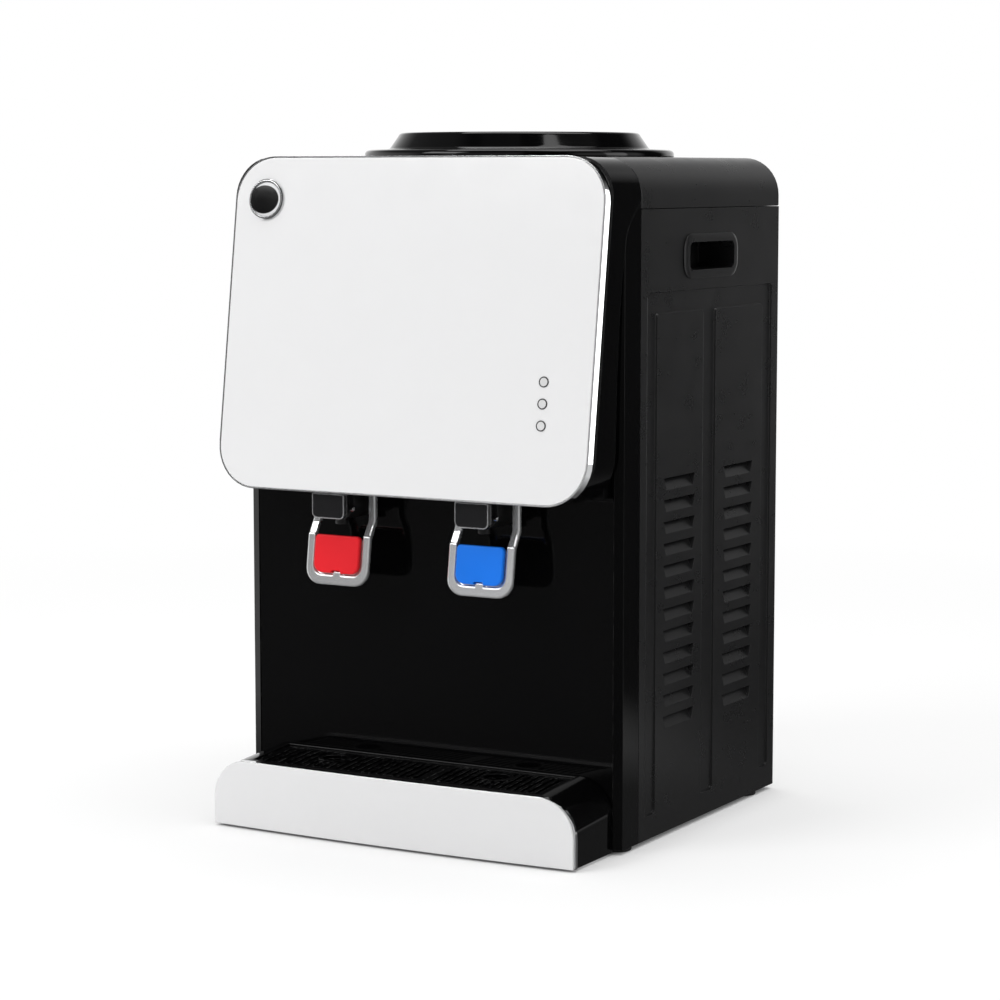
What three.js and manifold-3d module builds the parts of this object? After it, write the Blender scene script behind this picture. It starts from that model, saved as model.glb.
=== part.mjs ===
// Countertop hot and cold water dispenser for an upturned bottle, in millimetres.
// +Z is up, the front faces -Y and +X is on the right-hand side of someone facing the front.
// The origin is on the ground under the middle of the object. Inside the assembly group,
// y = 0 is the front edge of the two side columns.
import * as THREE from "three";
import { mergeVertices } from "three/addons/utils/BufferGeometryUtils.js";
import Module from "manifold-3d";

const wasm = await Module();
wasm.setup();

// ---------------------------------------------------------------- driving dimensions

const CLEARANCE = 0.3; // between pieces that touch
const OVERLAP = 0.4; // how far forms that are joined into one piece run into each other
const BEYOND = 20; // how far a cutting form runs past what it cuts

// cabinet
const CABINET_WIDTH = 310;
const CABINET_DEPTH = 257; // column fronts to the rear edge of the side panels
const CABINET_TOP = 487.5;
const FOOT_HEIGHT = 3.5;
const COVER_HEIGHT = 36; // top cover, from its seam to the top face
const EDGE_RADIUS = 28; // top side edges, front panel corners
const COLUMN_DEPTH = 24.5;
const COLUMN_CHAMFER = 6.6; // the slanted strip beside the splash panel, across the front
const COLUMN_NOSE = 2.6; // how far the inner edge of that strip stands forward
const MOULDED_WALL = 2.5;
const SHEET = 1.2; // painted steel sheet
const FLANGE = 12; // folded edges of the steel sheets
const LIP = 10; // the columns' inner lip, behind the splash panel
const SILL_HEIGHT = 12; // cross bar between the columns at the bottom

// splash panel, the glossy wall behind the cup space
const SPLASH_THICKNESS = 2;
const SPLASH_RISE = 2.6; // its upper edge above the front panel's lower edge
const SPLASH_LEDGE_HEIGHT = 2.5;
const SPLASH_LEDGE_REACH = 2.4;

// hood and its front panel
const PANEL_TILT = THREE.MathUtils.degToRad(7.9); // the lower edge leans out
const PANEL_INSET = 3.2; // side edges of the trim inside the cabinet's
const PANEL_HEIGHT = 241; // over the trim
const PANEL_THICKNESS = 2;
const PANEL_CORNER = 32;
const PANEL_OVERHANG = 52; // lower edge of the panel's face in front of the columns
const PANEL_RISE = 0.8; // upper edge of the panel's face above the cabinet top
const TRIM_RECESS = 0.4; // the trim's front edge behind the panel's face
const TRIM_THICKNESS = 4;
const TRIM_LIP = 0.9; // the part of the trim that surrounds the panel
const TRIM_WIDTH = 7;
const HOOD_CORNER = 33;
const HOOD_BOTTOM_DROP = 1; // the hood's underside falls this much towards the columns
const HOOD_SHOULDER_RISE = 5.5; // the hood's rear corner over the columns, above the seam
const HOOD_SHOULDER_DROP = 29; // from there down to where its edge reaches the column front
const HOOD_SHOULDER_SWELL = 13; // fullness of that curve
const HOOD_WAIST_DROP = 82; // middle of the long curve below, under the shoulder
const HOOD_WAIST_REACH = 12; // and in front of the columns
const HOOD_REAR_LEAN = 14.5; // gap between hood and column front at the hood's lower edge
const SPIGOT_DEPTH = 13; // the box on the front frame that the hood slips over
const SPIGOT_DROP = 26.5; // its top below the seam
const BADGE_RADIUS = 15;
const BADGE_HEIGHT = 1.6;
const BADGE_MARGIN = 27.1; // from the panel's left edge
const BADGE_DROP = 31.5; // below the panel's upper edge
const INDICATOR_RADIUS = 3.2;
const INDICATOR_MARGIN = 38.2; // from the panel's right edge
const INDICATOR_DROP = 155.5; // first indicator below the panel's upper edge
const INDICATOR_PITCH = 15.1;
const INDICATOR_PROUD = 0.3;
const BOARD_THICKNESS = 1.6;

// side panels
const CHANNEL_DEPTH = 1.4; // pressed channels around the louvre fields
const CHANNEL_DRAFT = 0.7;
const CHANNEL_DROP = 59; // below the seam
const CHANNEL_BAND = 14; // height of the channel across the top
const CHANNEL_BOTTOM = 21;
const CHANNEL_CORNER = 3;
const FRONT_CHANNEL_WIDTH = 15;
const FRONT_CHANNEL_MARGIN = 10.2;
const MIDDLE_CHANNEL_WIDTH = 20;
const MIDDLE_CHANNEL_SHIFT = 7.5; // behind the middle of the cabinet
const REAR_CHANNEL_WIDTH = 16;
const REAR_CHANNEL_MARGIN = 12;
const LOUVRE_COUNT = 12;
const LOUVRE_MARGIN = 12.5; // from the ends of the front field's louvres to its channels
const LOUVRE_HEIGHT = 9.5;
const LOUVRE_PITCH = 15.66;
const LOUVRE_DEPTH = 5;
const LOUVRE_INSET = 4; // the lower edge is shorter than the open upper edge by this at each end
const LOUVRE_DROP = 132; // first louvre below the channels' upper edge

// hand holds in the side panels
const HOLD_SHIFT = 8; // behind the middle of the cabinet
const HOLD_DROP = 34.5; // below the seam
const HOLD_LENGTH = 75;
const HOLD_HEIGHT = 20;
const HOLD_DEPTH = 28;
const HOLD_CORNER = 5;
const HOLD_RIM_LENGTH = 90.5;
const HOLD_RIM_HEIGHT = 32;
const HOLD_RIM_CORNER = 12;
const HOLD_RIM_PROUD = 1.4;
const HOLD_RIM_SLOPE = 3.5; // width of the sloping border around the rim's flat face
const HOLD_WALL = 2;
const HOLD_RIB_WIDTH = 1.6;
const HOLD_RIB_HEIGHT = 2.5;

// bottle seat
const WELL_SHIFT = 0.5; // behind the middle of the cabinet
const WELL_MARGIN = 31; // from the hole in the top cover to the cabinet's rear edge
const COVER_LIP_DEPTH = 10;
const COLLAR_FLANGE_REACH = 18; // beyond the hole
const COLLAR_FLANGE_HEIGHT = 6;
const COLLAR_INSET = 1.5; // foot of the raised ring inside the hole's edge
const COLLAR_TAPER = 5.5;
const COLLAR_HEIGHT = 18.4; // above the cabinet top
const COLLAR_WALL = 2.4;
const COLLAR_RIM = 8; // width of the rim that carries the bottle's shoulder
const FUNNEL_DROP = 34; // from the cabinet top down to the neck socket
const SOCKET_RADIUS = 29.5;
const SOCKET_DEPTH = 26;
const DRAIN_RADIUS = 14; // opening in the socket's floor
const PROBE_HEIGHT = 44;
const PROBE_RADIUS = 7;
const PROBE_BORE = 5;

// drip tray
const TRAY_INSET = 6; // its ends inside the cabinet's sides
const TRAY_BOTTOM = 2;
const TRAY_FRONT_TOP = 50.2;
const TRAY_REAR_TOP = 54.3;
const TRAY_CORNER = 27.5;
const TRAY_FRONT = 57; // front face of the tray body, in front of the columns
const TRAY_REAR_GAP = 1.1; // tray body to splash panel
const BASIN_MARGIN = 28.5; // from the tray's ends
const BASIN_FRONT_RIM = 3;
const BASIN_REAR_RIM = 3;
const BASIN_FLOOR = 12;
const BASIN_LEDGE = 3; // shelf around the basin that carries the grilles
const PLATE_STANDOFF = 5.5; // ends of the front plate, in front of the tray body
const PLATE_BOW = 4.5; // how far its middle stands further out
const PLATE_THICKNESS = 2;
const PLATE_RIM_WIDTH = 6;
const GRILLE_THICKNESS = 3;
const GRILLE_RECESS = 1.2; // below the tray's rim
const GRILLE_SPLIT_X = 22;
const GRILLE_BORDER = 4;
const SLOT_WIDTH = 3.4;
const SLOT_PITCH = 6;
const DRAIN_RING_MARGIN = 52.5; // from the basin's ends
const DRAIN_RING_Y = -25;
const DRAIN_RING_RADIUS = 12;
const DRAIN_RING_WALL = 2.4;
const TONGUE_MARGIN = 54; // from the tray's ends
const TONGUE_WIDTH = 22;
const TONGUE_HEIGHT = 4;
const TONGUE_LENGTH = 11;
const TONGUE_Z = 22;

// taps
const TAP_SPACING = 118.5;
const BARREL_RADIUS = 14;
const BARREL_DROP = 7.6; // its axis below the front panel's lower edge
const BARREL_FRONT = 33;
const SHANK_RADIUS = 7.5;
const SHANK_REAR = 12;
const TAP_CAP_WIDTH = 27;
const TAP_CAP_DEPTH = 5;
const TAP_CAP_FRONT = 46;
const TAP_CAP_DROP = 11.5; // its lower edge below the barrel's axis
const TAP_CAP_HEIGHT = 18;
const TAP_CAP_CORNER = 4;
const NECK_WIDTH = 20;
const SPOUT_RADIUS = 4.5;
const SPOUT_DROP = 17;
const PIVOT_Y = -22;
const PIVOT_RISE = 19; // above the barrel's axis
const PIN_RADIUS = 1.6;
const BOSS_WIDTH = 18;
const BOSS_RADIUS = 6;
const LEVER_WIDTH = 52;
const LEVER_BAND = 5.5;
const LEVER_BOTTOM_BAND = 7;
const LEVER_THICKNESS = 3.2;
const LEVER_LOOP_HEIGHT = 36.5;
const LEVER_LOOP_DROP = 24.9; // upper ends of the loop below the barrel's axis
const LEVER_LOOP_Y = -29.3;
const LEVER_KNEE_DROP = 14.5;
const LEVER_CORNER = 12;
const LEVER_WEB = 1.2; // thin wall in the loop that the paddle clips to
const LEVER_TAB_WIDTH = 6.5; // clip in the middle of the lower band
const LEVER_TAB_HEIGHT = 2.8;
const EYE_RADIUS = 5;
const PADDLE_SIDE_GAP = 1.5;
const PADDLE_FOOT_GAP = 1.4; // over the lower band
const PADDLE_THICKNESS = 4;
const PADDLE_DROP = 0.5; // under the upper ends of the loop
const PADDLE_TOP_CORNER = 3;
const PADDLE_BOTTOM_CORNER = 7;

// base and feet
const BASE_THICKNESS = 2.5;
const BASE_FLANGE = 12;
const FOOT_RADIUS = 10;
const FOOT_MARGIN = 11.5; // from the cabinet's sides
const FOOT_FRONT_Y = 15;
const FOOT_REAR_MARGIN = 31;
const VENT_COUNT = 5;
const VENT_WIDTH = 5;
const VENT_PITCH = 14;
const VENT_LENGTH = 80;
const VENT_MARGIN = 35; // from the cabinet's left side
const VENT_SHIFT = 21; // behind the bottle's axis

// rear panel and what it carries
const REAR_WINDOW_MARGIN = 55;
const REAR_WINDOW_BOTTOM = 26;
const REAR_WINDOW_TOP = 70;
const CONDENSER_MARGIN = 45;
const CONDENSER_BOTTOM = 98;
const CONDENSER_DROP = 93.5; // its top below the seam
const CONDENSER_RUNS = 6;
const CONDENSER_TUBE = 2.4; // radius
const CONDENSER_WIRES = 6;
const CONDENSER_END_INSET = 20; // its lower end, which comes in through the window
const CONDENSER_END_Z = 50;
const CONDENSER_END_DEPTH = 30.5;
const WIRE = 1.6;
const CONDENSER_RAIL_WIDTH = 9;
const CONDENSER_STANDOFF = 9.2;
const SWITCH_DROP = 31.5; // below the seam
const SWITCH_MARGIN = 65; // from the cabinet's side
const SWITCH_PITCH = 32;
const SWITCH_WIDTH = 14;
const SWITCH_HEIGHT = 21;
const SWITCH_RIM = 3;
const SWITCH_DEPTH = 14;
const ROCKER_TILT = THREE.MathUtils.degToRad(9);
const GLAND_MARGIN = 30;
const GLAND_Z = 48;
const GLAND_RADIUS = 9;
const GLAND_BORE = 3.6;
const DRAIN_Z = 48;
const DRAIN_TUBE_RADIUS = 8;
const DRAIN_CAP_RADIUS = 11;
const DRAIN_CAP_LENGTH = 13;
const DRAIN_PROUD = 8;

// tanks and cooling
const SHELF_RISE = 42; // above the taps' axis
const SHELF_THICKNESS = 1.5;
const FOAM_SIDE_GAP = 40;
const FOAM_END_GAP = 33.5;
const FOAM_TOP_GAP = 1.8; // to the bottle socket
const FOAM_FLOOR = 22;
const FOAM_CORNER = 25;
const TANK_GAP = 17; // foam left around the tank at its thinnest
const TANK_LID_GAP = 12; // from its top to the top of the foam
const TANK_WALL = 1.5;
const TANK_MOUTH = 34;
const HOT_TANK_RADIUS = 40;
const HOT_TANK_HEIGHT = 110;
const HOT_TANK_Y = 70;
const HOT_TANK_RISE = 17; // its top above the taps' axis
const NIPPLE_RADIUS = 5;
const NIPPLE_LENGTH = 9;
const CRADLE_WIDTH = 30;
const COMPRESSOR_X = 35;
const COMPRESSOR_REACH = 90.5; // from the rear panel
const COMPRESSOR_RADIUS = 62;
const COMPRESSOR_HEIGHT = 128;
const GROMMET_HEIGHT = 9;
const GROMMET_RADIUS = 8;
const GROMMET_SPREAD = 68;
const MOUNT_THICKNESS = 3;
const HOSE_RADIUS = 5;
const FEED_DROP = 42; // lowest point of the feed hose below the hot tank
const FEED_SWING = 27; // how far it stands behind the hot tank on its way down
const PIPE_RISE = 26; // suction pipe straight above the compressor
const COPPER_RADIUS = 3;
const DISCHARGE_Z = 58;

// ---------------------------------------------------------------- derived places

const HALF = CABINET_WIDTH / 2;
const MIDDLE_Y = CABINET_DEPTH / 2;
const SEAM_Z = CABINET_TOP - COVER_HEIGHT;
const INNER_X = HALF - SHEET; // inner face of a side panel
const SIDE_FRONT = COLUMN_DEPTH + CLEARANCE;
const REAR_SHEET_Y = CABINET_DEPTH - SHEET - CLEARANCE; // outer face of the rear panel
const FLOOR_TOP = FOOT_HEIGHT + BASE_THICKNESS; // upper face of the base plate

const PANEL_WIDTH = CABINET_WIDTH - 2 * PANEL_INSET;
const PANEL_TOP_Z = CABINET_TOP + PANEL_RISE;
const PANEL_BOTTOM_Z = PANEL_TOP_Z - PANEL_HEIGHT * Math.cos(PANEL_TILT);
const PANEL_TOP_Y = -PANEL_OVERHANG + PANEL_HEIGHT * Math.sin(PANEL_TILT);
const FACIA_MIDDLE = [(PANEL_TOP_Y - PANEL_OVERHANG) / 2, (PANEL_TOP_Z + PANEL_BOTTOM_Z) / 2];
const HOOD_FACE_DEPTH = TRIM_RECESS + TRIM_THICKNESS + CLEARANCE;
const HOOD_SHOULDER = SEAM_Z + HOOD_SHOULDER_RISE;
const SPIGOT_TOP = SEAM_Z - SPIGOT_DROP;
const BADGE_X = BADGE_MARGIN - PANEL_WIDTH / 2;
const INDICATOR_X = PANEL_WIDTH / 2 - INDICATOR_MARGIN;
const SPLASH_TOP = PANEL_BOTTOM_Z + SPLASH_RISE;
const SPLASH_REAR = 0.2;
const SPLASH_FRONT = SPLASH_REAR - SPLASH_THICKNESS;

const CHANNEL_TOP = SEAM_Z - CHANNEL_DROP;
const MIDDLE_CHANNEL_Y = MIDDLE_Y + MIDDLE_CHANNEL_SHIFT - MIDDLE_CHANNEL_WIDTH / 2;
const REAR_CHANNEL_Y = CABINET_DEPTH - REAR_CHANNEL_MARGIN - REAR_CHANNEL_WIDTH;
const FRONT_CHANNEL_Y = SIDE_FRONT + FRONT_CHANNEL_MARGIN;
const CHANNELS = [
  { from: FRONT_CHANNEL_Y, to: FRONT_CHANNEL_Y + FRONT_CHANNEL_WIDTH },
  { from: MIDDLE_CHANNEL_Y, to: MIDDLE_CHANNEL_Y + MIDDLE_CHANNEL_WIDTH },
  { from: REAR_CHANNEL_Y, to: REAR_CHANNEL_Y + REAR_CHANNEL_WIDTH },
];
const LOUVRE_TOP = CHANNEL_TOP - LOUVRE_DROP;
const LOUVRE_LENGTH = CHANNELS[1].from - CHANNELS[0].to - 2 * LOUVRE_MARGIN;
const HOLD_Y = MIDDLE_Y + HOLD_SHIFT;
const HOLD_Z = SEAM_Z - HOLD_DROP;

const WELL_Y = MIDDLE_Y + WELL_SHIFT;
const WELL_RADIUS = MIDDLE_Y - WELL_MARGIN; // hole in the top cover
const COLLAR_FLANGE_RADIUS = WELL_RADIUS + COLLAR_FLANGE_REACH;
const COLLAR_RADIUS = WELL_RADIUS - COLLAR_INSET;
const SOCKET_FLOOR = CABINET_TOP - FUNNEL_DROP - SOCKET_DEPTH;

const TRAY_WIDTH = CABINET_WIDTH - 2 * TRAY_INSET;
const TRAY_SLOPE = (TRAY_REAR_TOP - TRAY_FRONT_TOP) / TRAY_FRONT;
const TONGUE_X = TRAY_WIDTH / 2 - TONGUE_MARGIN;
const FRONT_REACH = TRAY_FRONT + PLATE_STANDOFF + PLATE_BOW;
const BASIN = {
  half: TRAY_WIDTH / 2 - BASIN_MARGIN,
  front: -TRAY_FRONT + BASIN_FRONT_RIM,
  rear: SPLASH_FRONT - TRAY_REAR_GAP - BASIN_REAR_RIM,
};
const DRAIN_RING_X = BASIN.half - DRAIN_RING_MARGIN;

const BARREL_Z = PANEL_BOTTOM_Z - BARREL_DROP;
const TAP_CAP_BOTTOM = BARREL_Z - TAP_CAP_DROP;
const TAP_CAP_TOP = TAP_CAP_BOTTOM + TAP_CAP_HEIGHT;
const SPOUT_END = BARREL_Z - SPOUT_DROP;
const PIVOT_Z = BARREL_Z + PIVOT_RISE;
const LEVER_LOOP_TOP = BARREL_Z - LEVER_LOOP_DROP;
const LEVER_KNEE_Z = BARREL_Z - LEVER_KNEE_DROP;
const PADDLE_WIDTH = LEVER_WIDTH - 2 * LEVER_BAND - 2 * PADDLE_SIDE_GAP;
const PADDLE_HEIGHT = LEVER_LOOP_HEIGHT - LEVER_BOTTOM_BAND - PADDLE_DROP - PADDLE_FOOT_GAP;

const FOOT_X = HALF - FOOT_MARGIN;
const FOOT_REAR_Y = CABINET_DEPTH - FOOT_REAR_MARGIN;
const REAR_WINDOW_WIDTH = CABINET_WIDTH - 2 * REAR_WINDOW_MARGIN;
const CONDENSER_WIDTH = CABINET_WIDTH - 2 * CONDENSER_MARGIN;
const CONDENSER_TOP = SEAM_Z - CONDENSER_DROP;
const CONDENSER_PITCH = (CONDENSER_TOP - CONDENSER_BOTTOM) / (CONDENSER_RUNS - 1);
const CONDENSER_Y = REAR_SHEET_Y + CLEARANCE + CONDENSER_STANDOFF + CONDENSER_TUBE;
const CONDENSER_END_X = CONDENSER_END_INSET - CONDENSER_WIDTH / 2;
const CONDENSER_END_Y = REAR_SHEET_Y - CONDENSER_END_DEPTH;
const WIRE_Y = CONDENSER_Y + CONDENSER_TUBE - OVERLAP;
const REAR_REACH = WIRE_Y + WIRE;
const SWITCH_X = HALF - SWITCH_MARGIN;
const SWITCH_Z = SEAM_Z - SWITCH_DROP;
const GLAND_X = HALF - GLAND_MARGIN;
const DRAIN_X = -GLAND_X;

const SHELF_Z = BARREL_Z + SHELF_RISE;
const FOAM_WIDTH = CABINET_WIDTH - 2 * FOAM_SIDE_GAP;
const FOAM_DEPTH = CABINET_DEPTH - 2 * FOAM_END_GAP;
const FOAM_FRONT = WELL_Y - FOAM_DEPTH / 2;
const FOAM_BOTTOM = SHELF_Z + CLEARANCE;
const FOAM_TOP = SOCKET_FLOOR - COLLAR_WALL - FOAM_TOP_GAP;
const TANK_RADIUS = FOAM_DEPTH / 2 - TANK_GAP;
const TANK_BOTTOM = FOAM_BOTTOM + FOAM_FLOOR + CLEARANCE;
const TANK_TOP = FOAM_TOP - TANK_LID_GAP;
const HOSE_Z = SHELF_Z + 33; // where the cold hose leaves the tank
const SUCTION_Y = WELL_Y + TANK_RADIUS + 7; // copper pipe that rises behind the cold tank
const SUCTION_TOP = SHELF_Z + 20;
const HOT_TANK_X = -TAP_SPACING / 2;
const HOT_TANK_BOTTOM = BARREL_Z + HOT_TANK_RISE - HOT_TANK_HEIGHT;
const COMPRESSOR_Y = REAR_SHEET_Y - COMPRESSOR_REACH;
const COMPRESSOR_BOTTOM = FLOOR_TOP + GROMMET_HEIGHT + MOUNT_THICKNESS + 2 * CLEARANCE;
const COMPRESSOR_TOP = COMPRESSOR_BOTTOM + COMPRESSOR_HEIGHT;

// y of the panel's plane at height z, a given depth behind its face
function panelY(z, depth) {
  return -PANEL_OVERHANG + (z - PANEL_BOTTOM_Z) * Math.tan(PANEL_TILT) + depth / Math.cos(PANEL_TILT);
}

// height of the tray's sloping rim at y
function trayTop(y) {
  return TRAY_FRONT_TOP + TRAY_SLOPE * (y + TRAY_FRONT);
}

// ---------------------------------------------------------------- finishes

function finish(color, roughness, metalness, extra = {}) {
  return new THREE.MeshStandardMaterial({ color, roughness, metalness, ...extra });
}

const GLOSS_BLACK = finish(0x0c0c0d, 0.12, 0);
const SATIN_BLACK = finish(0x2b2b2c, 0.42, 0.1);
const MATT_BLACK = finish(0x141414, 0.6, 0);
const PANEL_WHITE = finish(0xeeeeef, 0.12, 0);
const CHROME = finish(0xd8d9dc, 0.08, 1);
const STEEL = finish(0xb9bcc0, 0.3, 1);
const GALVANISED = finish(0xa5a8ab, 0.45, 0.9);
const RUBBER = finish(0x17171a, 0.85, 0);
const HOT_RED = finish(0xe2303c, 0.28, 0);
const COLD_BLUE = finish(0x2280ea, 0.28, 0);
const SMOKE = finish(0x3c3d40, 0.15, 0, { transparent: true, opacity: 0.8 });
const FOAM = finish(0xefefe9, 0.95, 0);
const COPPER = finish(0xb8734a, 0.3, 1);
const HOSE = finish(0xe7e4dc, 0.5, 0);
const LENS = finish(0xf4f4f4, 0.2, 0);
const BOARD_GREEN = finish(0x1f6b3a, 0.5, 0);

// ---------------------------------------------------------------- solids

const UP = new THREE.Vector3(0, 0, 1);
const ARC_STEPS = 5; // segments in a quarter circle of a large corner
const SMALL_ARC_STEPS = 3;

// A closed three.js geometry as a manifold-3d solid.
function solid(geometry) {
  const bare = geometry.index ? geometry.toNonIndexed() : geometry.clone();
  bare.deleteAttribute("normal");
  bare.deleteAttribute("uv");
  const merged = mergeVertices(bare, 1e-4);
  return new wasm.Manifold(
    new wasm.Mesh({
      numProp: 3,
      vertProperties: merged.attributes.position.array,
      triVerts: new Uint32Array(merged.index.array),
    }),
  );
}

function geometryOf(form) {
  const mesh = form.getMesh();
  const geometry = new THREE.BufferGeometry();
  geometry.setAttribute("position", new THREE.BufferAttribute(mesh.vertProperties, 3));
  geometry.setIndex(new THREE.BufferAttribute(mesh.triVerts, 1));
  return geometry;
}

function join(first, ...others) {
  return others.reduce((whole, other) => whole.add(other), first);
}

function cut(first, ...others) {
  return others.reduce((whole, other) => whole.subtract(other), first);
}

function box(x0, x1, y0, y1, z0, z1) {
  const geometry = new THREE.BoxGeometry(x1 - x0, y1 - y0, z1 - z0);
  return solid(geometry.translate((x0 + x1) / 2, (y0 + y1) / 2, (z0 + z1) / 2));
}

// The three ways to draw an outline and push it along an axis.
const AXES = {
  x: [new THREE.Vector3(0, 1, 0), new THREE.Vector3(0, 0, 1), new THREE.Vector3(1, 0, 0)], // drawn as (y, z)
  y: [new THREE.Vector3(1, 0, 0), new THREE.Vector3(0, 0, 1), new THREE.Vector3(0, -1, 0)], // drawn as (x, z)
  z: [new THREE.Vector3(1, 0, 0), new THREE.Vector3(0, 1, 0), new THREE.Vector3(0, 0, 1)], // drawn as (x, y)
};

function pushed(shape, axis, from, to, curveSegments = ARC_STEPS) {
  const geometry = new THREE.ExtrudeGeometry(shape, { depth: to - from, bevelEnabled: false, curveSegments });
  geometry.translate(0, 0, axis === "y" ? -to : from);
  return solid(geometry.applyMatrix4(new THREE.Matrix4().makeBasis(...AXES[axis])));
}

// An outline pushed along +X whose side walls widen by draft over the first depth.
function pressed(shape, from, depth, draft, grow) {
  const geometry = new THREE.ExtrudeGeometry(shape, {
    depth: BEYOND,
    bevelEnabled: true,
    bevelThickness: depth,
    bevelSize: draft,
    bevelOffset: grow,
    bevelSegments: 1,
    curveSegments: SMALL_ARC_STEPS,
  });
  geometry.translate(0, 0, from + depth);
  return solid(geometry.applyMatrix4(new THREE.Matrix4().makeBasis(...AXES.x)));
}

function rod(radius, axis, from, to, a, b, sides = 18) {
  const shape = new THREE.Shape().absarc(a, b, radius, 0, 2 * Math.PI);
  return pushed(shape, axis, from, to, sides / 2);
}

// A rectangle with rounded corners: radii for lower left, lower right, upper right, upper left.
function roundedRect(x0, x1, y0, y1, radii) {
  const [a, b, c, d] = Array.isArray(radii) ? radii : [radii, radii, radii, radii];
  const shape = new THREE.Shape();
  shape.moveTo(x0 + a, y0);
  shape.lineTo(x1 - b, y0);
  if (b) shape.absarc(x1 - b, y0 + b, b, -Math.PI / 2, 0);
  shape.lineTo(x1, y1 - c);
  if (c) shape.absarc(x1 - c, y1 - c, c, 0, Math.PI / 2);
  shape.lineTo(x0 + d, y1);
  if (d) shape.absarc(x0 + d, y1 - d, d, Math.PI / 2, Math.PI);
  shape.lineTo(x0, y0 + a);
  if (a) shape.absarc(x0 + a, y0 + a, a, Math.PI, 1.5 * Math.PI);
  return shape;
}

// A polygon whose corners are rounded off over the given reach.
function roundedPolygon(corners, reach) {
  const shape = new THREE.Shape();
  corners.forEach(([x, y], i) => {
    const corner = new THREE.Vector2(x, y);
    const before = new THREE.Vector2(...corners.at(i - 1));
    const after = new THREE.Vector2(...corners[(i + 1) % corners.length]);
    const start = corner.clone().add(before.sub(corner).setLength(reach));
    const end = corner.clone().add(after.sub(corner).setLength(reach));
    if (i) shape.lineTo(start.x, start.y);
    else shape.moveTo(start.x, start.y);
    shape.quadraticCurveTo(x, y, end.x, end.y);
  });
  shape.closePath();
  return shape;
}

// A band of even thickness along an open line of (y, z) or (x, z) points.
function band(points, thickness) {
  const line = points.map(([a, b]) => new THREE.Vector2(a, b));
  const edge = (side) =>
    line.map((point, i) => {
      const before = i ? point.clone().sub(line[i - 1]).normalize() : null;
      const after = i < line.length - 1 ? line[i + 1].clone().sub(point).normalize() : null;
      const along = (before ?? after).clone().add(after ?? before).normalize();
      const across = new THREE.Vector2(-along.y, along.x);
      const stretch = 1 / across.dot(new THREE.Vector2(-(after ?? before).y, (after ?? before).x));
      return point.clone().addScaledVector(across, (side * stretch * thickness) / 2);
    });
  return new THREE.Shape([...edge(1), ...edge(-1).reverse()]);
}

// Closed solid through rings of equally many points; each end ring is convex.
function skin(rings) {
  const count = rings[0].length;
  const positions = rings.flat().flatMap((p) => [p.x, p.y, p.z]);
  const index = [];
  for (let r = 0; r < rings.length - 1; r++)
    for (let i = 0; i < count; i++) {
      const a = r * count + i;
      const b = r * count + ((i + 1) % count);
      index.push(a, b, b + count, a, b + count, a + count);
    }
  const last = (rings.length - 1) * count;
  for (let i = 1; i < count - 1; i++) {
    index.push(0, i + 1, i);
    index.push(last, last + i, last + i + 1);
  }
  const build = (order) => {
    const geometry = new THREE.BufferGeometry();
    geometry.setAttribute("position", new THREE.Float32BufferAttribute(positions, 3));
    return solid(geometry.setIndex(order));
  };
  const made = build(index);
  return made.volume() > 0 ? made : build([...index].reverse());
}

// A form that changes evenly from one (x, z) outline at y0 to another at y1.
function loft(outline0, y0, outline1, y1) {
  const ring = (shape, y) =>
    shape.getPoints(ARC_STEPS).slice(0, -1).map((p) => new THREE.Vector3(p.x, y, p.y));
  return skin([ring(outline0, y0), ring(outline1, y1)]);
}

// Corner points turned into a smooth path, each bend rounded over the given reach at most.
function bentPath(corners, reach, steps = 3) {
  const points = corners.map((c) => new THREE.Vector3(...c));
  const path = [points[0]];
  points.slice(1, -1).forEach((corner, i) => {
    const back = points[i].clone().sub(corner);
    const ahead = points[i + 2].clone().sub(corner);
    const length = Math.min(reach, back.length() / 2 - 0.05, ahead.length() / 2 - 0.05);
    const start = corner.clone().add(back.setLength(length));
    const end = corner.clone().add(ahead.setLength(length));
    path.push(...new THREE.QuadraticBezierCurve3(start, corner, end).getPoints(steps));
  });
  path.push(points.at(-1));
  return path;
}

// A round tube or rod along a path; the first flat of its section faces the given way.
function tube(path, radius, sides, facing) {
  const spin = Math.PI / sides;
  const corner = radius / Math.cos(spin);
  let side = facing.clone();
  const rings = path.map((point, i) => {
    const ahead = path[Math.min(i + 1, path.length - 1)];
    const along = ahead.clone().sub(path[Math.max(i - 1, 0)]).normalize();
    side = side.clone().addScaledVector(along, -side.dot(along)).normalize();
    const up = new THREE.Vector3().crossVectors(side, along);
    return Array.from({ length: sides }, (_, k) => {
      const angle = spin + (2 * Math.PI * k) / sides;
      const out = side.clone().multiplyScalar(Math.cos(angle)).addScaledVector(up, Math.sin(angle));
      return point.clone().addScaledVector(out, corner);
    });
  });
  return skin(rings);
}

// A profile of [radius, z] points turned about the vertical axis through (x, y).
function turned(profile, x, y, segments = 24) {
  const geometry = new THREE.LatheGeometry(
    profile.map(([r, z]) => new THREE.Vector2(r, z)),
    segments,
  );
  geometry.rotateX(Math.PI / 2);
  const made = solid(geometry.translate(x, y, 0));
  return made.volume() > 0 ? made : flipped(geometry);
}

function flipped(geometry) {
  geometry.index.array.reverse();
  return solid(geometry);
}

// A form made upright, leaned like the front panel and moved to (y, z).
function leaning(form, y, z) {
  return form.rotate([-THREE.MathUtils.radToDeg(PANEL_TILT), 0, 0]).translate([0, y, z]);
}

function piece(name, form, material) {
  const mesh = new THREE.Mesh(geometryOf(form), material);
  mesh.name = name;
  return mesh;
}

// ---------------------------------------------------------------- front frame and splash panel

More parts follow.
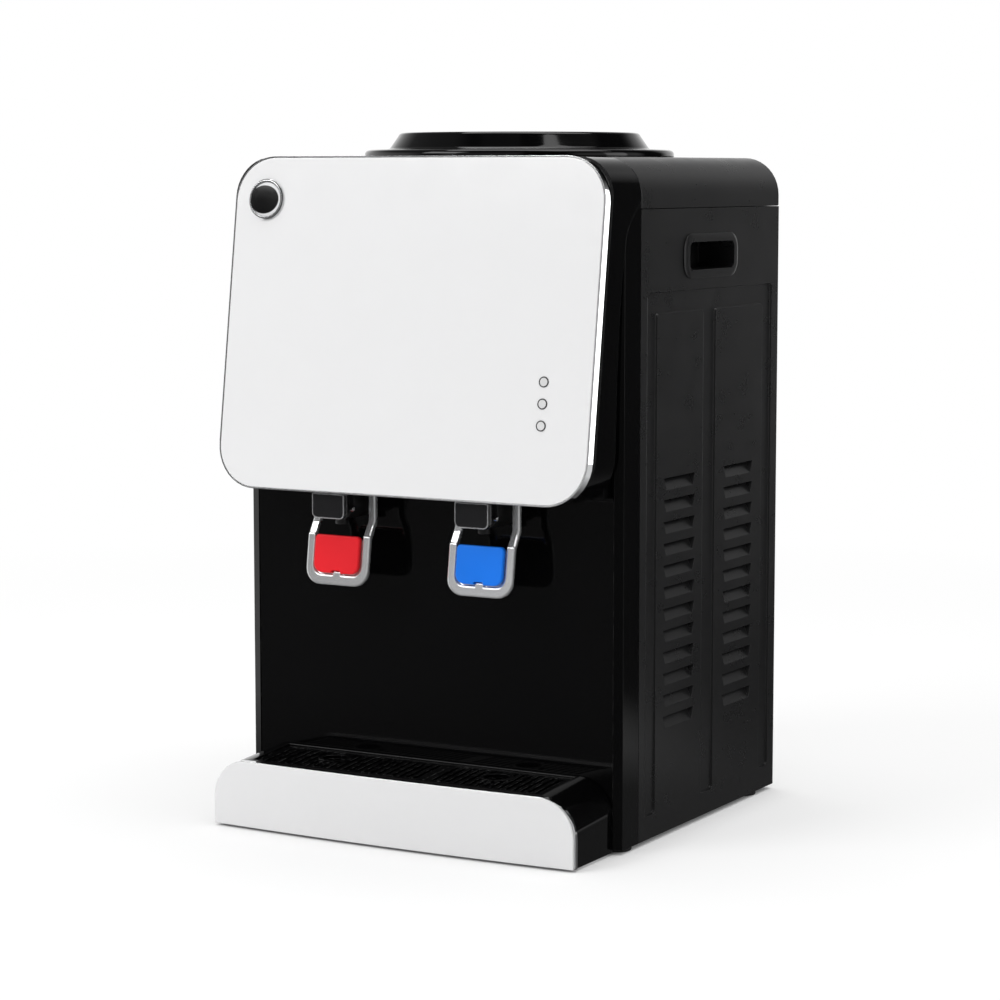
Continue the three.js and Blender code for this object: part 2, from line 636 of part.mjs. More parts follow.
// The hood's rear edge seen from the side, drawn downwards from its shoulder, moved back by shift.
function hoodRearEdge(shape, shift) {
  const seamEnd = HOOD_SHOULDER - HOOD_SHOULDER_DROP - shift;
  shape.lineTo(COLUMN_DEPTH + shift, HOOD_SHOULDER - shift);
  shape.quadraticCurveTo(1.5 + shift, seamEnd + HOOD_SHOULDER_SWELL, 0.5 + shift, seamEnd);
  shape.quadraticCurveTo(
    -HOOD_WAIST_REACH + shift,
    HOOD_SHOULDER - HOOD_WAIST_DROP,
    -HOOD_REAR_LEAN + shift,
    PANEL_BOTTOM_Z - HOOD_BOTTOM_DROP,
  );
}

function columnSection(side) {
  const wall = MOULDED_WALL;
  const seat = SPLASH_REAR + CLEARANCE;
  const inner = HALF - COLUMN_CHAMFER;
  const corners = [
    [inner, -COLUMN_NOSE],
    [HALF, 0],
    [HALF, COLUMN_DEPTH - CLEARANCE],
    [HALF - wall, COLUMN_DEPTH - CLEARANCE],
    [HALF - wall, seat + wall],
    [inner - LIP, seat + wall],
    [inner - LIP, seat],
    [inner, seat],
  ];
  return new THREE.Shape(corners.map(([x, y]) => new THREE.Vector2(side * x, y)));
}

function frontFrame() {
  const seat = SPLASH_REAR + CLEARANCE;
  const wall = MOULDED_WALL;
  const columns = [-1, 1].map((side) => pushed(columnSection(side), "z", FOOT_HEIGHT, HOOD_SHOULDER));
  const above = new THREE.Shape();
  above.moveTo(COLUMN_DEPTH + BEYOND, HOOD_SHOULDER + BEYOND);
  above.lineTo(COLUMN_DEPTH + BEYOND, HOOD_SHOULDER - CLEARANCE);
  hoodRearEdge(above, CLEARANCE);
  above.lineTo(-2 * BEYOND, PANEL_BOTTOM_Z);
  above.lineTo(-2 * BEYOND, HOOD_SHOULDER + BEYOND);
  const inner = HALF - wall - OVERLAP;
  const low = SPLASH_TOP + CLEARANCE;
  const header = box(-inner, inner, seat, seat + wall, low, SPIGOT_TOP);
  const sill = box(-inner, inner, seat, seat + wall, FOOT_HEIGHT, FOOT_HEIGHT + SILL_HEIGHT);
  const spigotX = HALF - COLUMN_CHAMFER - wall;
  const spigot = box(-spigotX, spigotX, -SPIGOT_DEPTH, seat + OVERLAP, low, SPIGOT_TOP);
  const hollow = box(
    -spigotX + wall,
    spigotX - wall,
    -SPIGOT_DEPTH + wall,
    seat + wall + BEYOND,
    low + wall,
    SPIGOT_TOP - wall,
  );
  const barrelRoom = [-1, 1].map((side) =>
    rod(BARREL_RADIUS + 2 * CLEARANCE, "y", -BEYOND, BEYOND, (side * TAP_SPACING) / 2, BARREL_Z),
  );
  const uprights = cut(join(...columns), pushed(above, "x", -HALF - BEYOND, HALF + BEYOND));
  return cut(join(uprights, header, sill, spigot), hollow, ...barrelRoom);
}

function splashPanel() {
  const halfWidth = HALF - COLUMN_CHAMFER - CLEARANCE;
  const bottom = FOOT_HEIGHT + CLEARANCE;
  const plate = box(-halfWidth, halfWidth, SPLASH_FRONT, SPLASH_REAR, bottom, SPLASH_TOP);
  const ledge = box(
    -halfWidth,
    halfWidth,
    SPLASH_FRONT - SPLASH_LEDGE_REACH,
    SPLASH_FRONT + OVERLAP,
    SPLASH_TOP - SPLASH_LEDGE_HEIGHT,
    SPLASH_TOP,
  );
  const holes = [-1, 1].flatMap((side) => [
    rod(SHANK_RADIUS + CLEARANCE, "y", -BEYOND, BEYOND, (side * TAP_SPACING) / 2, BARREL_Z),
    box(
      side * TONGUE_X - TONGUE_WIDTH / 2 - 2 * CLEARANCE,
      side * TONGUE_X + TONGUE_WIDTH / 2 + 2 * CLEARANCE,
      -BEYOND,
      BEYOND,
      TONGUE_Z - CLEARANCE,
      TONGUE_Z + TONGUE_HEIGHT + CLEARANCE,
    ),
  ]);
  const barrelGap = [-1, 1].map((side) =>
    rod(BARREL_RADIUS + 2 * CLEARANCE, "y", -BEYOND, SPLASH_FRONT, (side * TAP_SPACING) / 2, BARREL_Z),
  );
  return cut(join(plate, ledge), ...holes, ...barrelGap);
}

// ---------------------------------------------------------------- hood and front panel

function hoodOutline(bottom, inset) {
  return roundedRect(
    -HALF + inset,
    HALF - inset,
    bottom + inset,
    CABINET_TOP - inset,
    [HOOD_CORNER - inset, HOOD_CORNER - inset, EDGE_RADIUS - inset, EDGE_RADIUS - inset],
  );
}

function hoodShell() {
  const front = -PANEL_OVERHANG;
  const frontBottom = PANEL_BOTTOM_Z;
  const rearBottom = frontBottom - HOOD_BOTTOM_DROP;
  const wall = MOULDED_WALL;
  const low = rearBottom - BEYOND;
  const high = CABINET_TOP + BEYOND;
  const outer = loft(hoodOutline(frontBottom, 0), front, hoodOutline(rearBottom, 0), COLUMN_DEPTH);
  const back = COLUMN_DEPTH + BEYOND;
  const hollow = loft(hoodOutline(frontBottom, wall), front, hoodOutline(rearBottom, wall), back);
  const sides = new THREE.Shape();
  sides.moveTo(panelY(low, HOOD_FACE_DEPTH), low);
  sides.lineTo(panelY(high, HOOD_FACE_DEPTH), high);
  sides.lineTo(COLUMN_DEPTH, high);
  hoodRearEdge(sides, 0);
  sides.lineTo(-HOOD_REAR_LEAN, low);
  const behindFace = new THREE.Shape([
    new THREE.Vector2(panelY(low, HOOD_FACE_DEPTH + wall), low),
    new THREE.Vector2(panelY(high, HOOD_FACE_DEPTH + wall), high),
    new THREE.Vector2(COLUMN_DEPTH + 2 * BEYOND, high),
    new THREE.Vector2(COLUMN_DEPTH + 2 * BEYOND, low),
  ]);
  const across = HALF + BEYOND;
  const shell = cut(
    outer.intersect(pushed(sides, "x", -across, across)),
    hollow.intersect(pushed(behindFace, "x", -across, across)),
  );
  const notchHalf = LEVER_WIDTH / 2 + 4;
  const notches = [-1, 1].map((side) =>
    box(
      (side * TAP_SPACING) / 2 - notchHalf,
      (side * TAP_SPACING) / 2 + notchHalf,
      panelY(frontBottom, HOOD_FACE_DEPTH + wall),
      COLUMN_DEPTH,
      low,
      frontBottom + wall + OVERLAP,
    ),
  );
  const lightHoles = indicatorPlaces().map(({ z }) =>
    leaning(rod(INDICATOR_RADIUS + CLEARANCE, "y", -BEYOND, BEYOND, INDICATOR_X, z, 12), ...FACIA_MIDDLE),
  );
  const well = rod(WELL_RADIUS, "z", SEAM_Z, CABINET_TOP + BEYOND, 0, WELL_Y, 32);
  return cut(shell, ...notches, ...lightHoles, well);
}

// Heights of the indicators from the middle of the tilted panel.
function indicatorPlaces() {
  return ["power", "hot", "cold"].map((name, i) => ({
    name,
    z: PANEL_HEIGHT / 2 - INDICATOR_DROP - i * INDICATOR_PITCH,
  }));
}

function panelOutline(inset) {
  return roundedRect(
    -PANEL_WIDTH / 2 + inset,
    PANEL_WIDTH / 2 - inset,
    -PANEL_HEIGHT / 2 + inset,
    PANEL_HEIGHT / 2 - inset,
    PANEL_CORNER - inset,
  );
}

// Everything on the tilted face, in a group whose origin is the middle of the panel's face.
function facia() {
  const group = new THREE.Group();
  group.position.set(0, ...FACIA_MIDDLE);
  group.rotation.x = -PANEL_TILT;
  const places = indicatorPlaces();
  const holeRadius = INDICATOR_RADIUS + CLEARANCE;
  const holes = places.map(({ z }) => rod(holeRadius, "y", -BEYOND, BEYOND, INDICATOR_X, z, 12));
  const plate = pushed(panelOutline(TRIM_LIP + CLEARANCE), "y", 0, PANEL_THICKNESS);
  group.add(piece("front_panel", cut(plate, ...holes), PANEL_WHITE));

  const trim = cut(
    pushed(panelOutline(0), "y", TRIM_RECESS, TRIM_RECESS + TRIM_THICKNESS),
    pushed(panelOutline(TRIM_LIP), "y", -BEYOND, PANEL_THICKNESS + CLEARANCE),
    pushed(panelOutline(TRIM_WIDTH), "y", -BEYOND, BEYOND),
  );
  group.add(piece("panel_trim", trim, CHROME));

  const badge = new THREE.Group();
  badge.position.set(BADGE_X, -CLEARANCE, PANEL_HEIGHT / 2 - BADGE_DROP);
  badge.rotation.x = Math.PI / 2;
  const ringInner = BADGE_RADIUS - 2.2;
  const ring = [
    [ringInner, 0],
    [BADGE_RADIUS, 0],
    [BADGE_RADIUS, BADGE_HEIGHT / 2],
    [BADGE_RADIUS - 1, BADGE_HEIGHT],
    [ringInner, BADGE_HEIGHT],
    [ringInner, 0],
  ];
  badge.add(piece("badge_ring", turned(ring, 0, 0, 24), CHROME));
  const faceRadius = ringInner - CLEARANCE;
  const face = [
    [0, 0],
    [faceRadius, 0],
    [faceRadius, BADGE_HEIGHT / 2],
    [0, BADGE_HEIGHT * 0.75],
  ];
  badge.add(piece("badge_face", turned(face, 0, 0, 24), PANEL_WHITE));
  group.add(badge);

  const boardFront = HOOD_FACE_DEPTH + MOULDED_WALL + CLEARANCE;
  places.forEach(({ name, z }) => {
    const pipe = rod(INDICATOR_RADIUS, "y", -INDICATOR_PROUD, boardFront - CLEARANCE, INDICATOR_X, z, 12);
    group.add(piece(`indicator_${name}`, pipe, LENS));
  });
  const margin = 8;
  const board = box(
    INDICATOR_X - margin,
    INDICATOR_X + margin,
    boardFront,
    boardFront + BOARD_THICKNESS,
    places.at(-1).z - margin,
    places[0].z + margin,
  );
  group.add(piece("indicator_board", board, BOARD_GREEN));
  return group;
}

// ---------------------------------------------------------------- side panels and hand holds

function channelOutline() {
  const bandBottom = CHANNEL_TOP - CHANNEL_BAND;
  const [front, middle, rear] = CHANNELS;
  return roundedPolygon(
    [
      [front.from, CHANNEL_BOTTOM],
      [front.to, CHANNEL_BOTTOM],
      [front.to, bandBottom],
      [middle.from, bandBottom],
      [middle.from, CHANNEL_BOTTOM],
      [middle.to, CHANNEL_BOTTOM],
      [middle.to, bandBottom],
      [rear.from, bandBottom],
      [rear.from, CHANNEL_BOTTOM],
      [rear.to, CHANNEL_BOTTOM],
      [rear.to, CHANNEL_TOP],
      [front.from, CHANNEL_TOP],
    ],
    CHANNEL_CORNER,
  );
}

// Pocket of a pressed louvre: a flap that is flush at its lower edge and deepest along its open
// upper edge, between two triangular end walls. Grown, it is the outside of the pressed sheet.
function louvrePocket(middleY, top, grow) {
  const outer = grow ? HALF - SHEET / 2 : HALF + OVERLAP;
  const deep = HALF - LOUVRE_DEPTH - grow;
  const half = LOUVRE_LENGTH / 2 + grow;
  const end = (side) => [
    new THREE.Vector3(outer, middleY + side * half, top),
    new THREE.Vector3(deep, middleY + side * (half - LOUVRE_INSET / 2), top),
    new THREE.Vector3(outer, middleY + side * (half - LOUVRE_INSET), top - LOUVRE_HEIGHT - grow),
  ];
  return skin([end(-1), end(1)]);
}

function louvres(grow) {
  const fields = [0, 1].map((i) => (CHANNELS[i].to + CHANNELS[i + 1].from) / 2);
  return fields.flatMap((y) =>
    Array.from({ length: LOUVRE_COUNT }, (_, i) => louvrePocket(y, LOUVRE_TOP - i * LOUVRE_PITCH, grow)),
  );
}

// Right-hand panel; the left-hand one is its mirror image.
function sidePanel() {
  const bottom = FOOT_HEIGHT;
  const top = SEAM_Z - CLEARANCE;
  const sheet = box(INNER_X, HALF, SIDE_FRONT, CABINET_DEPTH, bottom, top);
  const frontFold = box(HALF - FLANGE, HALF, SIDE_FRONT, SIDE_FRONT + SHEET, bottom, top);
  const rearFold = box(HALF - FLANGE, HALF, CABINET_DEPTH - SHEET, CABINET_DEPTH, bottom, top);
  const floor = HALF - CHANNEL_DEPTH;
  const inside = box(0, INNER_X + SHEET / 2, 0, CABINET_DEPTH, 0, CABINET_TOP);
  const groove = (from, grow) => pressed(channelOutline(), from, CHANNEL_DEPTH, CHANNEL_DRAFT, grow);
  const bump = groove(floor - SHEET, SHEET).intersect(inside);
  const channel = groove(floor, 0);
  const holdGap = HOLD_WALL + 2 * CLEARANCE;
  const holdHole = pushed(
    holdOutline(HOLD_LENGTH, HOLD_HEIGHT, HOLD_CORNER, holdGap),
    "x",
    INNER_X - BEYOND,
    HALF + BEYOND,
    3,
  );
  const skinned = join(sheet, frontFold, rearFold, bump, ...louvres(SHEET));
  return cut(skinned, channel, holdHole, ...louvres(0));
}

function holdOutline(length, height, corner, grow) {
  return roundedRect(
    HOLD_Y - length / 2 - grow,
    HOLD_Y + length / 2 + grow,
    HOLD_Z - height / 2 - grow,
    HOLD_Z + height / 2 + grow,
    corner + grow,
  );
}

function handHold() {
  const face = HALF + CLEARANCE;
  const rimRing = (grow, x) =>
    holdOutline(HOLD_RIM_LENGTH, HOLD_RIM_HEIGHT, HOLD_RIM_CORNER, grow)
      .getPoints(SMALL_ARC_STEPS)
      .slice(0, -1)
      .map((p) => new THREE.Vector3(x, p.x, p.y));
  const proud = HOLD_RIM_PROUD;
  const rim = skin([rimRing(0, face), rimRing(0, face + proud / 3), rimRing(-HOLD_RIM_SLOPE, face + proud)]);
  const tub = pushed(
    holdOutline(HOLD_LENGTH, HOLD_HEIGHT, HOLD_CORNER, HOLD_WALL),
    "x",
    HALF - HOLD_DEPTH - HOLD_WALL,
    face + OVERLAP,
    3,
  );
  const floor = HALF - HOLD_DEPTH;
  const pocket = pushed(holdOutline(HOLD_LENGTH, HOLD_HEIGHT, HOLD_CORNER, 0), "x", floor, HALF + BEYOND, 3);
  const rib = box(
    floor - OVERLAP,
    floor + HOLD_RIB_HEIGHT,
    HOLD_Y - HOLD_RIB_WIDTH / 2,
    HOLD_Y + HOLD_RIB_WIDTH / 2,
    HOLD_Z - HOLD_HEIGHT / 2 - OVERLAP,
    HOLD_Z + HOLD_HEIGHT / 2 + OVERLAP,
  );
  return join(cut(join(rim, tub), pocket), rib);
}

// ---------------------------------------------------------------- top cover and bottle seat

function coverOutline(inset) {
  return roundedRect(
    -HALF + inset,
    HALF - inset,
    SEAM_Z - (inset ? BEYOND : 0),
    CABINET_TOP - inset,
    [0, 0, EDGE_RADIUS - inset, EDGE_RADIUS - inset],
  );
}

function topCover() {
  const wall = MOULDED_WALL;
  const shell = cut(
    pushed(coverOutline(0), "y", SIDE_FRONT, CABINET_DEPTH),
    pushed(coverOutline(wall), "y", SIDE_FRONT - BEYOND, CABINET_DEPTH - wall),
  );
  const lip = turned(
    [
      [WELL_RADIUS, CABINET_TOP - wall - COVER_LIP_DEPTH],
      [WELL_RADIUS + wall, CABINET_TOP - wall - COVER_LIP_DEPTH],
      [WELL_RADIUS + wall, CABINET_TOP - wall + OVERLAP],
      [WELL_RADIUS, CABINET_TOP - wall + OVERLAP],
      [WELL_RADIUS, CABINET_TOP - wall - COVER_LIP_DEPTH],
    ],
    0,
    WELL_Y,
    32,
  );
  const well = rod(WELL_RADIUS, "z", SEAM_Z - BEYOND, CABINET_TOP + BEYOND, 0, WELL_Y, 32);
  return join(cut(shell, well), cut(lip, box(-HALF, HALF, 0, SIDE_FRONT, SEAM_Z, CABINET_TOP)));
}

function bottleCollar() {
  const base = CABINET_TOP + CLEARANCE;
  const flangeTop = base + COLLAR_FLANGE_HEIGHT;
  const top = CABINET_TOP + COLLAR_HEIGHT;
  const rimOuter = COLLAR_RADIUS - COLLAR_TAPER;
  const rimInner = rimOuter - COLLAR_RIM;
  const funnelZ = CABINET_TOP - FUNNEL_DROP;
  const floorZ = SOCKET_FLOOR;
  const wall = COLLAR_WALL;
  const plug = WELL_RADIUS - 4 * CLEARANCE;
  return turned(
    [
      [DRAIN_RADIUS, floorZ],
      [SOCKET_RADIUS, floorZ],
      [SOCKET_RADIUS, funnelZ],
      [rimInner - 16, base - 6],
      [rimInner - 3, flangeTop + 2],
      [rimInner, top - 2],
      [rimInner + 2, top],
      [rimOuter - 2.5, top],
      [rimOuter, top - 2],
      [COLLAR_RADIUS, flangeTop + 1.2],
      [COLLAR_RADIUS + 1.5, flangeTop],
      [COLLAR_FLANGE_RADIUS - 3, flangeTop - 0.6],
      [COLLAR_FLANGE_RADIUS, flangeTop - 3.4],
      [COLLAR_FLANGE_RADIUS, base],
      [plug, base],
      [plug, base - 9],
      [plug - wall, base - 9],
      [plug - wall - 2, base + 2],
      [rimInner - 10, base - 4 - wall],
      [SOCKET_RADIUS + wall, funnelZ - wall],
      [SOCKET_RADIUS + wall, floorZ - wall],
      [DRAIN_RADIUS, floorZ - wall],
      [DRAIN_RADIUS, floorZ],
    ],
    0,
    WELL_Y,
    32,
  );
}

// Hollow spike that opens the bottle's cap; it stands on the socket's floor on three legs.
function bottleProbe() {
  const floorZ = SOCKET_FLOOR + CLEARANCE;
  const tip = floorZ + PROBE_HEIGHT;
  const outside = turned(
    [
      [0, floorZ],
      [SOCKET_RADIUS - 2, floorZ],
      [SOCKET_RADIUS - 2, floorZ + 2.5],
      [PROBE_RADIUS + 3, floorZ + 4],
      [PROBE_RADIUS, floorZ + 9],
      [PROBE_RADIUS, tip - 9],
      [0, tip],
    ],
    0,
    WELL_Y,
    14,
  );
  const bore = rod(PROBE_BORE, "z", floorZ - BEYOND, tip - 8, 0, WELL_Y, 10);
  const slots = [0, 1, 2].map((i) => {
    const geometry = new THREE.BoxGeometry(4, 2 * PROBE_RADIUS, PROBE_HEIGHT / 3);
    geometry.translate(0, PROBE_RADIUS, 0);
    geometry.rotateZ((i * 2 * Math.PI) / 3);
    return solid(geometry.translate(0, WELL_Y, floorZ + PROBE_HEIGHT * 0.55));
  });
  const ports = [0, 1, 2].map((i) => {
    const angle = ((i + 0.5) * 2 * Math.PI) / 3;
    const reach = (PROBE_RADIUS + SOCKET_RADIUS) / 2;
    const x = reach * Math.cos(angle);
    return rod(5, "z", floorZ - BEYOND, floorZ + 8, x, WELL_Y + reach * Math.sin(angle), 8);
  });
  return cut(outside, bore, ...slots, ...ports);
}

// ---------------------------------------------------------------- drip tray

function trayOutline(top, inset, bottom = TRAY_BOTTOM) {
  const half = TRAY_WIDTH / 2 - inset;
  const corner = TRAY_CORNER - inset;
  return roundedRect(-half, half, bottom, top - inset, [0, 0, corner, corner]);
}

// A box whose top and bottom faces follow the tray's slope; heights are given under the rim.
function slopedBox(x0, x1, y0, y1, under0, under1) {
  const shape = new THREE.Shape([
    new THREE.Vector2(y0, trayTop(y0) - under0),
    new THREE.Vector2(y1, trayTop(y1) - under0),
    new THREE.Vector2(y1, trayTop(y1) - under1),
    new THREE.Vector2(y0, trayTop(y0) - under1),
  ]);
  return pushed(shape, "x", x0, x1);
}

function dripTray() {
  const wall = MOULDED_WALL;
  const rear = SPLASH_FRONT - TRAY_REAR_GAP;
  const outer = loft(trayOutline(trayTop(-TRAY_FRONT), 0), -TRAY_FRONT, trayOutline(trayTop(rear), 0), rear);
  const under = loft(
    trayOutline(trayTop(-TRAY_FRONT), wall, TRAY_BOTTOM - BEYOND),
    -TRAY_FRONT + wall,
    trayOutline(trayTop(rear), wall, TRAY_BOTTOM - BEYOND),
    rear - wall,
  );
  const { half, front } = BASIN;
  const back = BASIN.rear;
  const ledge = BASIN_LEDGE;
  const tub = box(
    -half - wall,
    half + wall,
    front - wall,
    back + wall,
    BASIN_FLOOR - wall,
    TRAY_REAR_TOP,
  ).intersect(outer);
  const mouth = slopedBox(-half, half, front, back, GRILLE_RECESS + GRILLE_THICKNESS + CLEARANCE, -BEYOND);
  const basinHalf = half - ledge;
  const above = TRAY_REAR_TOP + BEYOND;
  const basin = box(-basinHalf, basinHalf, front + ledge, back - ledge, BASIN_FLOOR, above);
  const tongues = [-1, 1].map((side) =>
    box(
      side * TONGUE_X - TONGUE_WIDTH / 2,
      side * TONGUE_X + TONGUE_WIDTH / 2,
      rear - OVERLAP,
      rear + TONGUE_LENGTH,
      TONGUE_Z,
      TONGUE_Z + TONGUE_HEIGHT,
    ),
  );
  return cut(join(cut(outer, under), tub, ...tongues), mouth, basin);
}

// The region behind the bowed face of the front plate, from a given depth back to y1.
function bowedSlice(depth, y1) {
  const end = TRAY_WIDTH / 2;
  const half = end + 2;
  const radius = (end * end + PLATE_BOW * PLATE_BOW) / (2 * PLATE_BOW);
  const steps = 14;
  const front = Array.from({ length: steps + 1 }, (_, i) => {
    const x = -half + (2 * half * i) / steps;
    const bow = Math.sqrt(radius * radius - x * x) - radius;
    return new THREE.Vector2(x, -FRONT_REACH - bow + depth);
  });
  return new THREE.Shape([...front, new THREE.Vector2(half, y1), new THREE.Vector2(-half, y1)]);
}

function trayFrontPlate() {
  const outline = pushed(trayOutline(TRAY_FRONT_TOP, 0), "y", -FRONT_REACH - 1, -TRAY_FRONT);
  const top = TRAY_REAR_TOP + BEYOND;
  const behind = pushed(bowedSlice(PLATE_THICKNESS, BEYOND), "z", -BEYOND, top);
  return cut(outline.intersect(pushed(bowedSlice(0, BEYOND), "z", -BEYOND, top)), behind);
}

function trayTrim() {
  const rear = -TRAY_FRONT - CLEARANCE;
  const outline = pushed(trayOutline(TRAY_FRONT_TOP, 0), "y", -FRONT_REACH - 1, rear);
  const opening = pushed(
    trayOutline(TRAY_FRONT_TOP, PLATE_RIM_WIDTH, TRAY_BOTTOM + PLATE_RIM_WIDTH),
    "y",
    -FRONT_REACH - BEYOND,
    rear + BEYOND,
  );
  const slice = pushed(bowedSlice(PLATE_THICKNESS + CLEARANCE, rear), "z", -BEYOND, TRAY_REAR_TOP + BEYOND);
  return cut(outline.intersect(slice), opening);
}

// One of the two lift-out grilles, with slots that run front to back and a splash ring.
function grille(x0, x1, ringX) {
  const gap = 2 * CLEARANCE;
  const front = BASIN.front + gap;
  const rear = BASIN.rear - gap;
  const bottom = GRILLE_RECESS + GRILLE_THICKNESS;
  const plate = slopedBox(x0, x1, front, rear, bottom, GRILLE_RECESS);
  const first = x0 + GRILLE_BORDER;
  const count = Math.floor((x1 - GRILLE_BORDER - first + SLOT_PITCH - SLOT_WIDTH) / SLOT_PITCH);
  const margin = (x1 - x0 - (count * SLOT_PITCH - (SLOT_PITCH - SLOT_WIDTH))) / 2;
  const slots = Array.from({ length: count }, (_, i) => {
    const from = x0 + margin + i * SLOT_PITCH;
    return box(from, from + SLOT_WIDTH, front + GRILLE_BORDER, rear - GRILLE_BORDER, 0, CABINET_TOP);
  });
  const surface = trayTop(DRAIN_RING_Y) - GRILLE_RECESS;
  const ring = turned(
    [
      [DRAIN_RING_RADIUS - DRAIN_RING_WALL, surface - GRILLE_THICKNESS + 1],
      [DRAIN_RING_RADIUS, surface - GRILLE_THICKNESS + 1],
      [DRAIN_RING_RADIUS, surface + 0.6],
      [DRAIN_RING_RADIUS - DRAIN_RING_WALL, surface + 0.6],
      [DRAIN_RING_RADIUS - DRAIN_RING_WALL, surface - GRILLE_THICKNESS + 1],
    ],
    ringX,
    DRAIN_RING_Y,
    18,
  );
  const hole = rod(DRAIN_RING_RADIUS - DRAIN_RING_WALL, "z", 0, CABINET_TOP, ringX, DRAIN_RING_Y, 18);
  return cut(join(cut(plate, ...slots), ring), hole);
}

// ---------------------------------------------------------------- taps, around x = 0

function tapBody() {
  const barrelRear = SPLASH_FRONT - CLEARANCE;
  const barrel = rod(BARREL_RADIUS, "y", -BARREL_FRONT, barrelRear, 0, BARREL_Z, 22);
  const shank = rod(SHANK_RADIUS, "y", barrelRear - OVERLAP, SHANK_REAR, 0, BARREL_Z, 14);
  const noseFront = -TAP_CAP_FRONT + TAP_CAP_DEPTH + CLEARANCE;
  const nose = pushed(
    roundedRect(-NECK_WIDTH / 2, NECK_WIDTH / 2, TAP_CAP_BOTTOM + 1.5, TAP_CAP_TOP - 2, 2),
    "y",
    noseFront,
    -BARREL_FRONT + OVERLAP,
    SMALL_ARC_STEPS,
  );
  const spout = rod(SPOUT_RADIUS, "z", SPOUT_END, BARREL_Z, 0, -BARREL_FRONT + SPOUT_RADIUS + 1, 12);
  const bossTop = pushed(
    new THREE.Shape().absarc(PIVOT_Y, PIVOT_Z, BOSS_RADIUS, 0, 2 * Math.PI),
    "x",
    -BOSS_WIDTH / 2,
    BOSS_WIDTH / 2,
    6,
  );
  const bossHalf = BOSS_WIDTH / 2;
  const bossFoot = box(-bossHalf, bossHalf, PIVOT_Y - BOSS_RADIUS, PIVOT_Y + BOSS_RADIUS, BARREL_Z, PIVOT_Z);
  const pinHole = rod(PIN_RADIUS + CLEARANCE, "x", -BEYOND, BEYOND, PIVOT_Y, PIVOT_Z, 12);
  return cut(join(barrel, shank, nose, spout, bossTop, bossFoot), pinHole);
}

function tapCap() {
  const outline = roundedRect(-TAP_CAP_WIDTH / 2, TAP_CAP_WIDTH / 2, TAP_CAP_BOTTOM, TAP_CAP_TOP, [
    TAP_CAP_CORNER,
    TAP_CAP_CORNER,
    1,
    1,
  ]);
  return pushed(outline, "y", -TAP_CAP_FRONT, -TAP_CAP_FRONT + TAP_CAP_DEPTH, 2);
}

function leverPin() {
  return rod(PIN_RADIUS, "x", -LEVER_WIDTH / 2 - 1, LEVER_WIDTH / 2 + 1, PIVOT_Y, PIVOT_Z, 12);
}

// The loop of the lever in its own plane: x across, z down from its upper ends.
function leverLoopOutline() {
  const half = LEVER_WIDTH / 2;
  const inner = half - LEVER_BAND;
  const innerCorner = LEVER_CORNER - LEVER_BAND + 1;
  const shape = new THREE.Shape();
  shape.moveTo(-half, 0);
  shape.lineTo(-half, -LEVER_LOOP_HEIGHT + LEVER_CORNER);
  shape.absarc(-half + LEVER_CORNER, -LEVER_LOOP_HEIGHT + LEVER_CORNER, LEVER_CORNER, Math.PI, 1.5 * Math.PI);
  shape.lineTo(half - LEVER_CORNER, -LEVER_LOOP_HEIGHT);
  shape.absarc(half - LEVER_CORNER, -LEVER_LOOP_HEIGHT + LEVER_CORNER, LEVER_CORNER, -Math.PI / 2, 0);
  shape.lineTo(half, 0);
  shape.lineTo(inner, 0);
  const floor = -LEVER_LOOP_HEIGHT + LEVER_BOTTOM_BAND;
  shape.lineTo(inner, floor + innerCorner);
  shape.absarc(inner - innerCorner, floor + innerCorner, innerCorner, 0, -Math.PI / 2, true);
  shape.lineTo(-inner + innerCorner, floor);
  shape.absarc(-inner + innerCorner, floor + innerCorner, innerCorner, -Math.PI / 2, -Math.PI, true);
  shape.lineTo(-inner, 0);
  return shape;
}

// An outline in the loop's own plane, given thickness and put at its place.
function inLoopPlane(shape, from, to, steps) {
  return leaning(pushed(shape, "y", from, to, steps), LEVER_LOOP_Y, LEVER_LOOP_TOP);
}

function lever() {
  const loop = inLoopPlane(leverLoopOutline(), -LEVER_THICKNESS / 2, LEVER_THICKNESS / 2, 4);
  const webHalf = LEVER_WIDTH / 2 - LEVER_BAND + OVERLAP;
  const web = inLoopPlane(
    roundedRect(-webHalf, webHalf, -LEVER_LOOP_HEIGHT + LEVER_BOTTOM_BAND - OVERLAP, -LEVER_THICKNESS / 2, 6),
    LEVER_THICKNESS / 2 - LEVER_WEB,
    LEVER_THICKNESS / 2,
    SMALL_ARC_STEPS,
  );
  const armLine = [
    [LEVER_LOOP_Y, LEVER_LOOP_TOP - 1.5],
    [PIVOT_Y, LEVER_KNEE_Z],
    [PIVOT_Y, PIVOT_Z],
  ];
  const arms = [-1, 1].map((side) => {
    const x0 = side > 0 ? LEVER_WIDTH / 2 - LEVER_BAND : -LEVER_WIDTH / 2;
    const eye = rod(EYE_RADIUS, "x", x0, x0 + LEVER_BAND, PIVOT_Y, PIVOT_Z, 10);
    return join(pushed(band(armLine, LEVER_THICKNESS), "x", x0, x0 + LEVER_BAND), eye);
  });
  const pinHole = rod(PIN_RADIUS + CLEARANCE, "x", -LEVER_WIDTH, LEVER_WIDTH, PIVOT_Y, PIVOT_Z, 12);
  const tab = inLoopPlane(tabOutline(0), -LEVER_THICKNESS / 2, LEVER_THICKNESS / 2, SMALL_ARC_STEPS);
  return cut(join(loop, web, tab, ...arms), pinHole);
}

// The clip in the middle of the lower band, which stands in a notch of the paddle.
function tabOutline(grow) {
  const floor = -LEVER_LOOP_HEIGHT + LEVER_BOTTOM_BAND;
  const half = LEVER_TAB_WIDTH / 2 + grow;
  return roundedRect(-half, half, floor - OVERLAP - grow, floor + LEVER_TAB_HEIGHT + grow, [0, 0, 0.8, 0.8]);
}

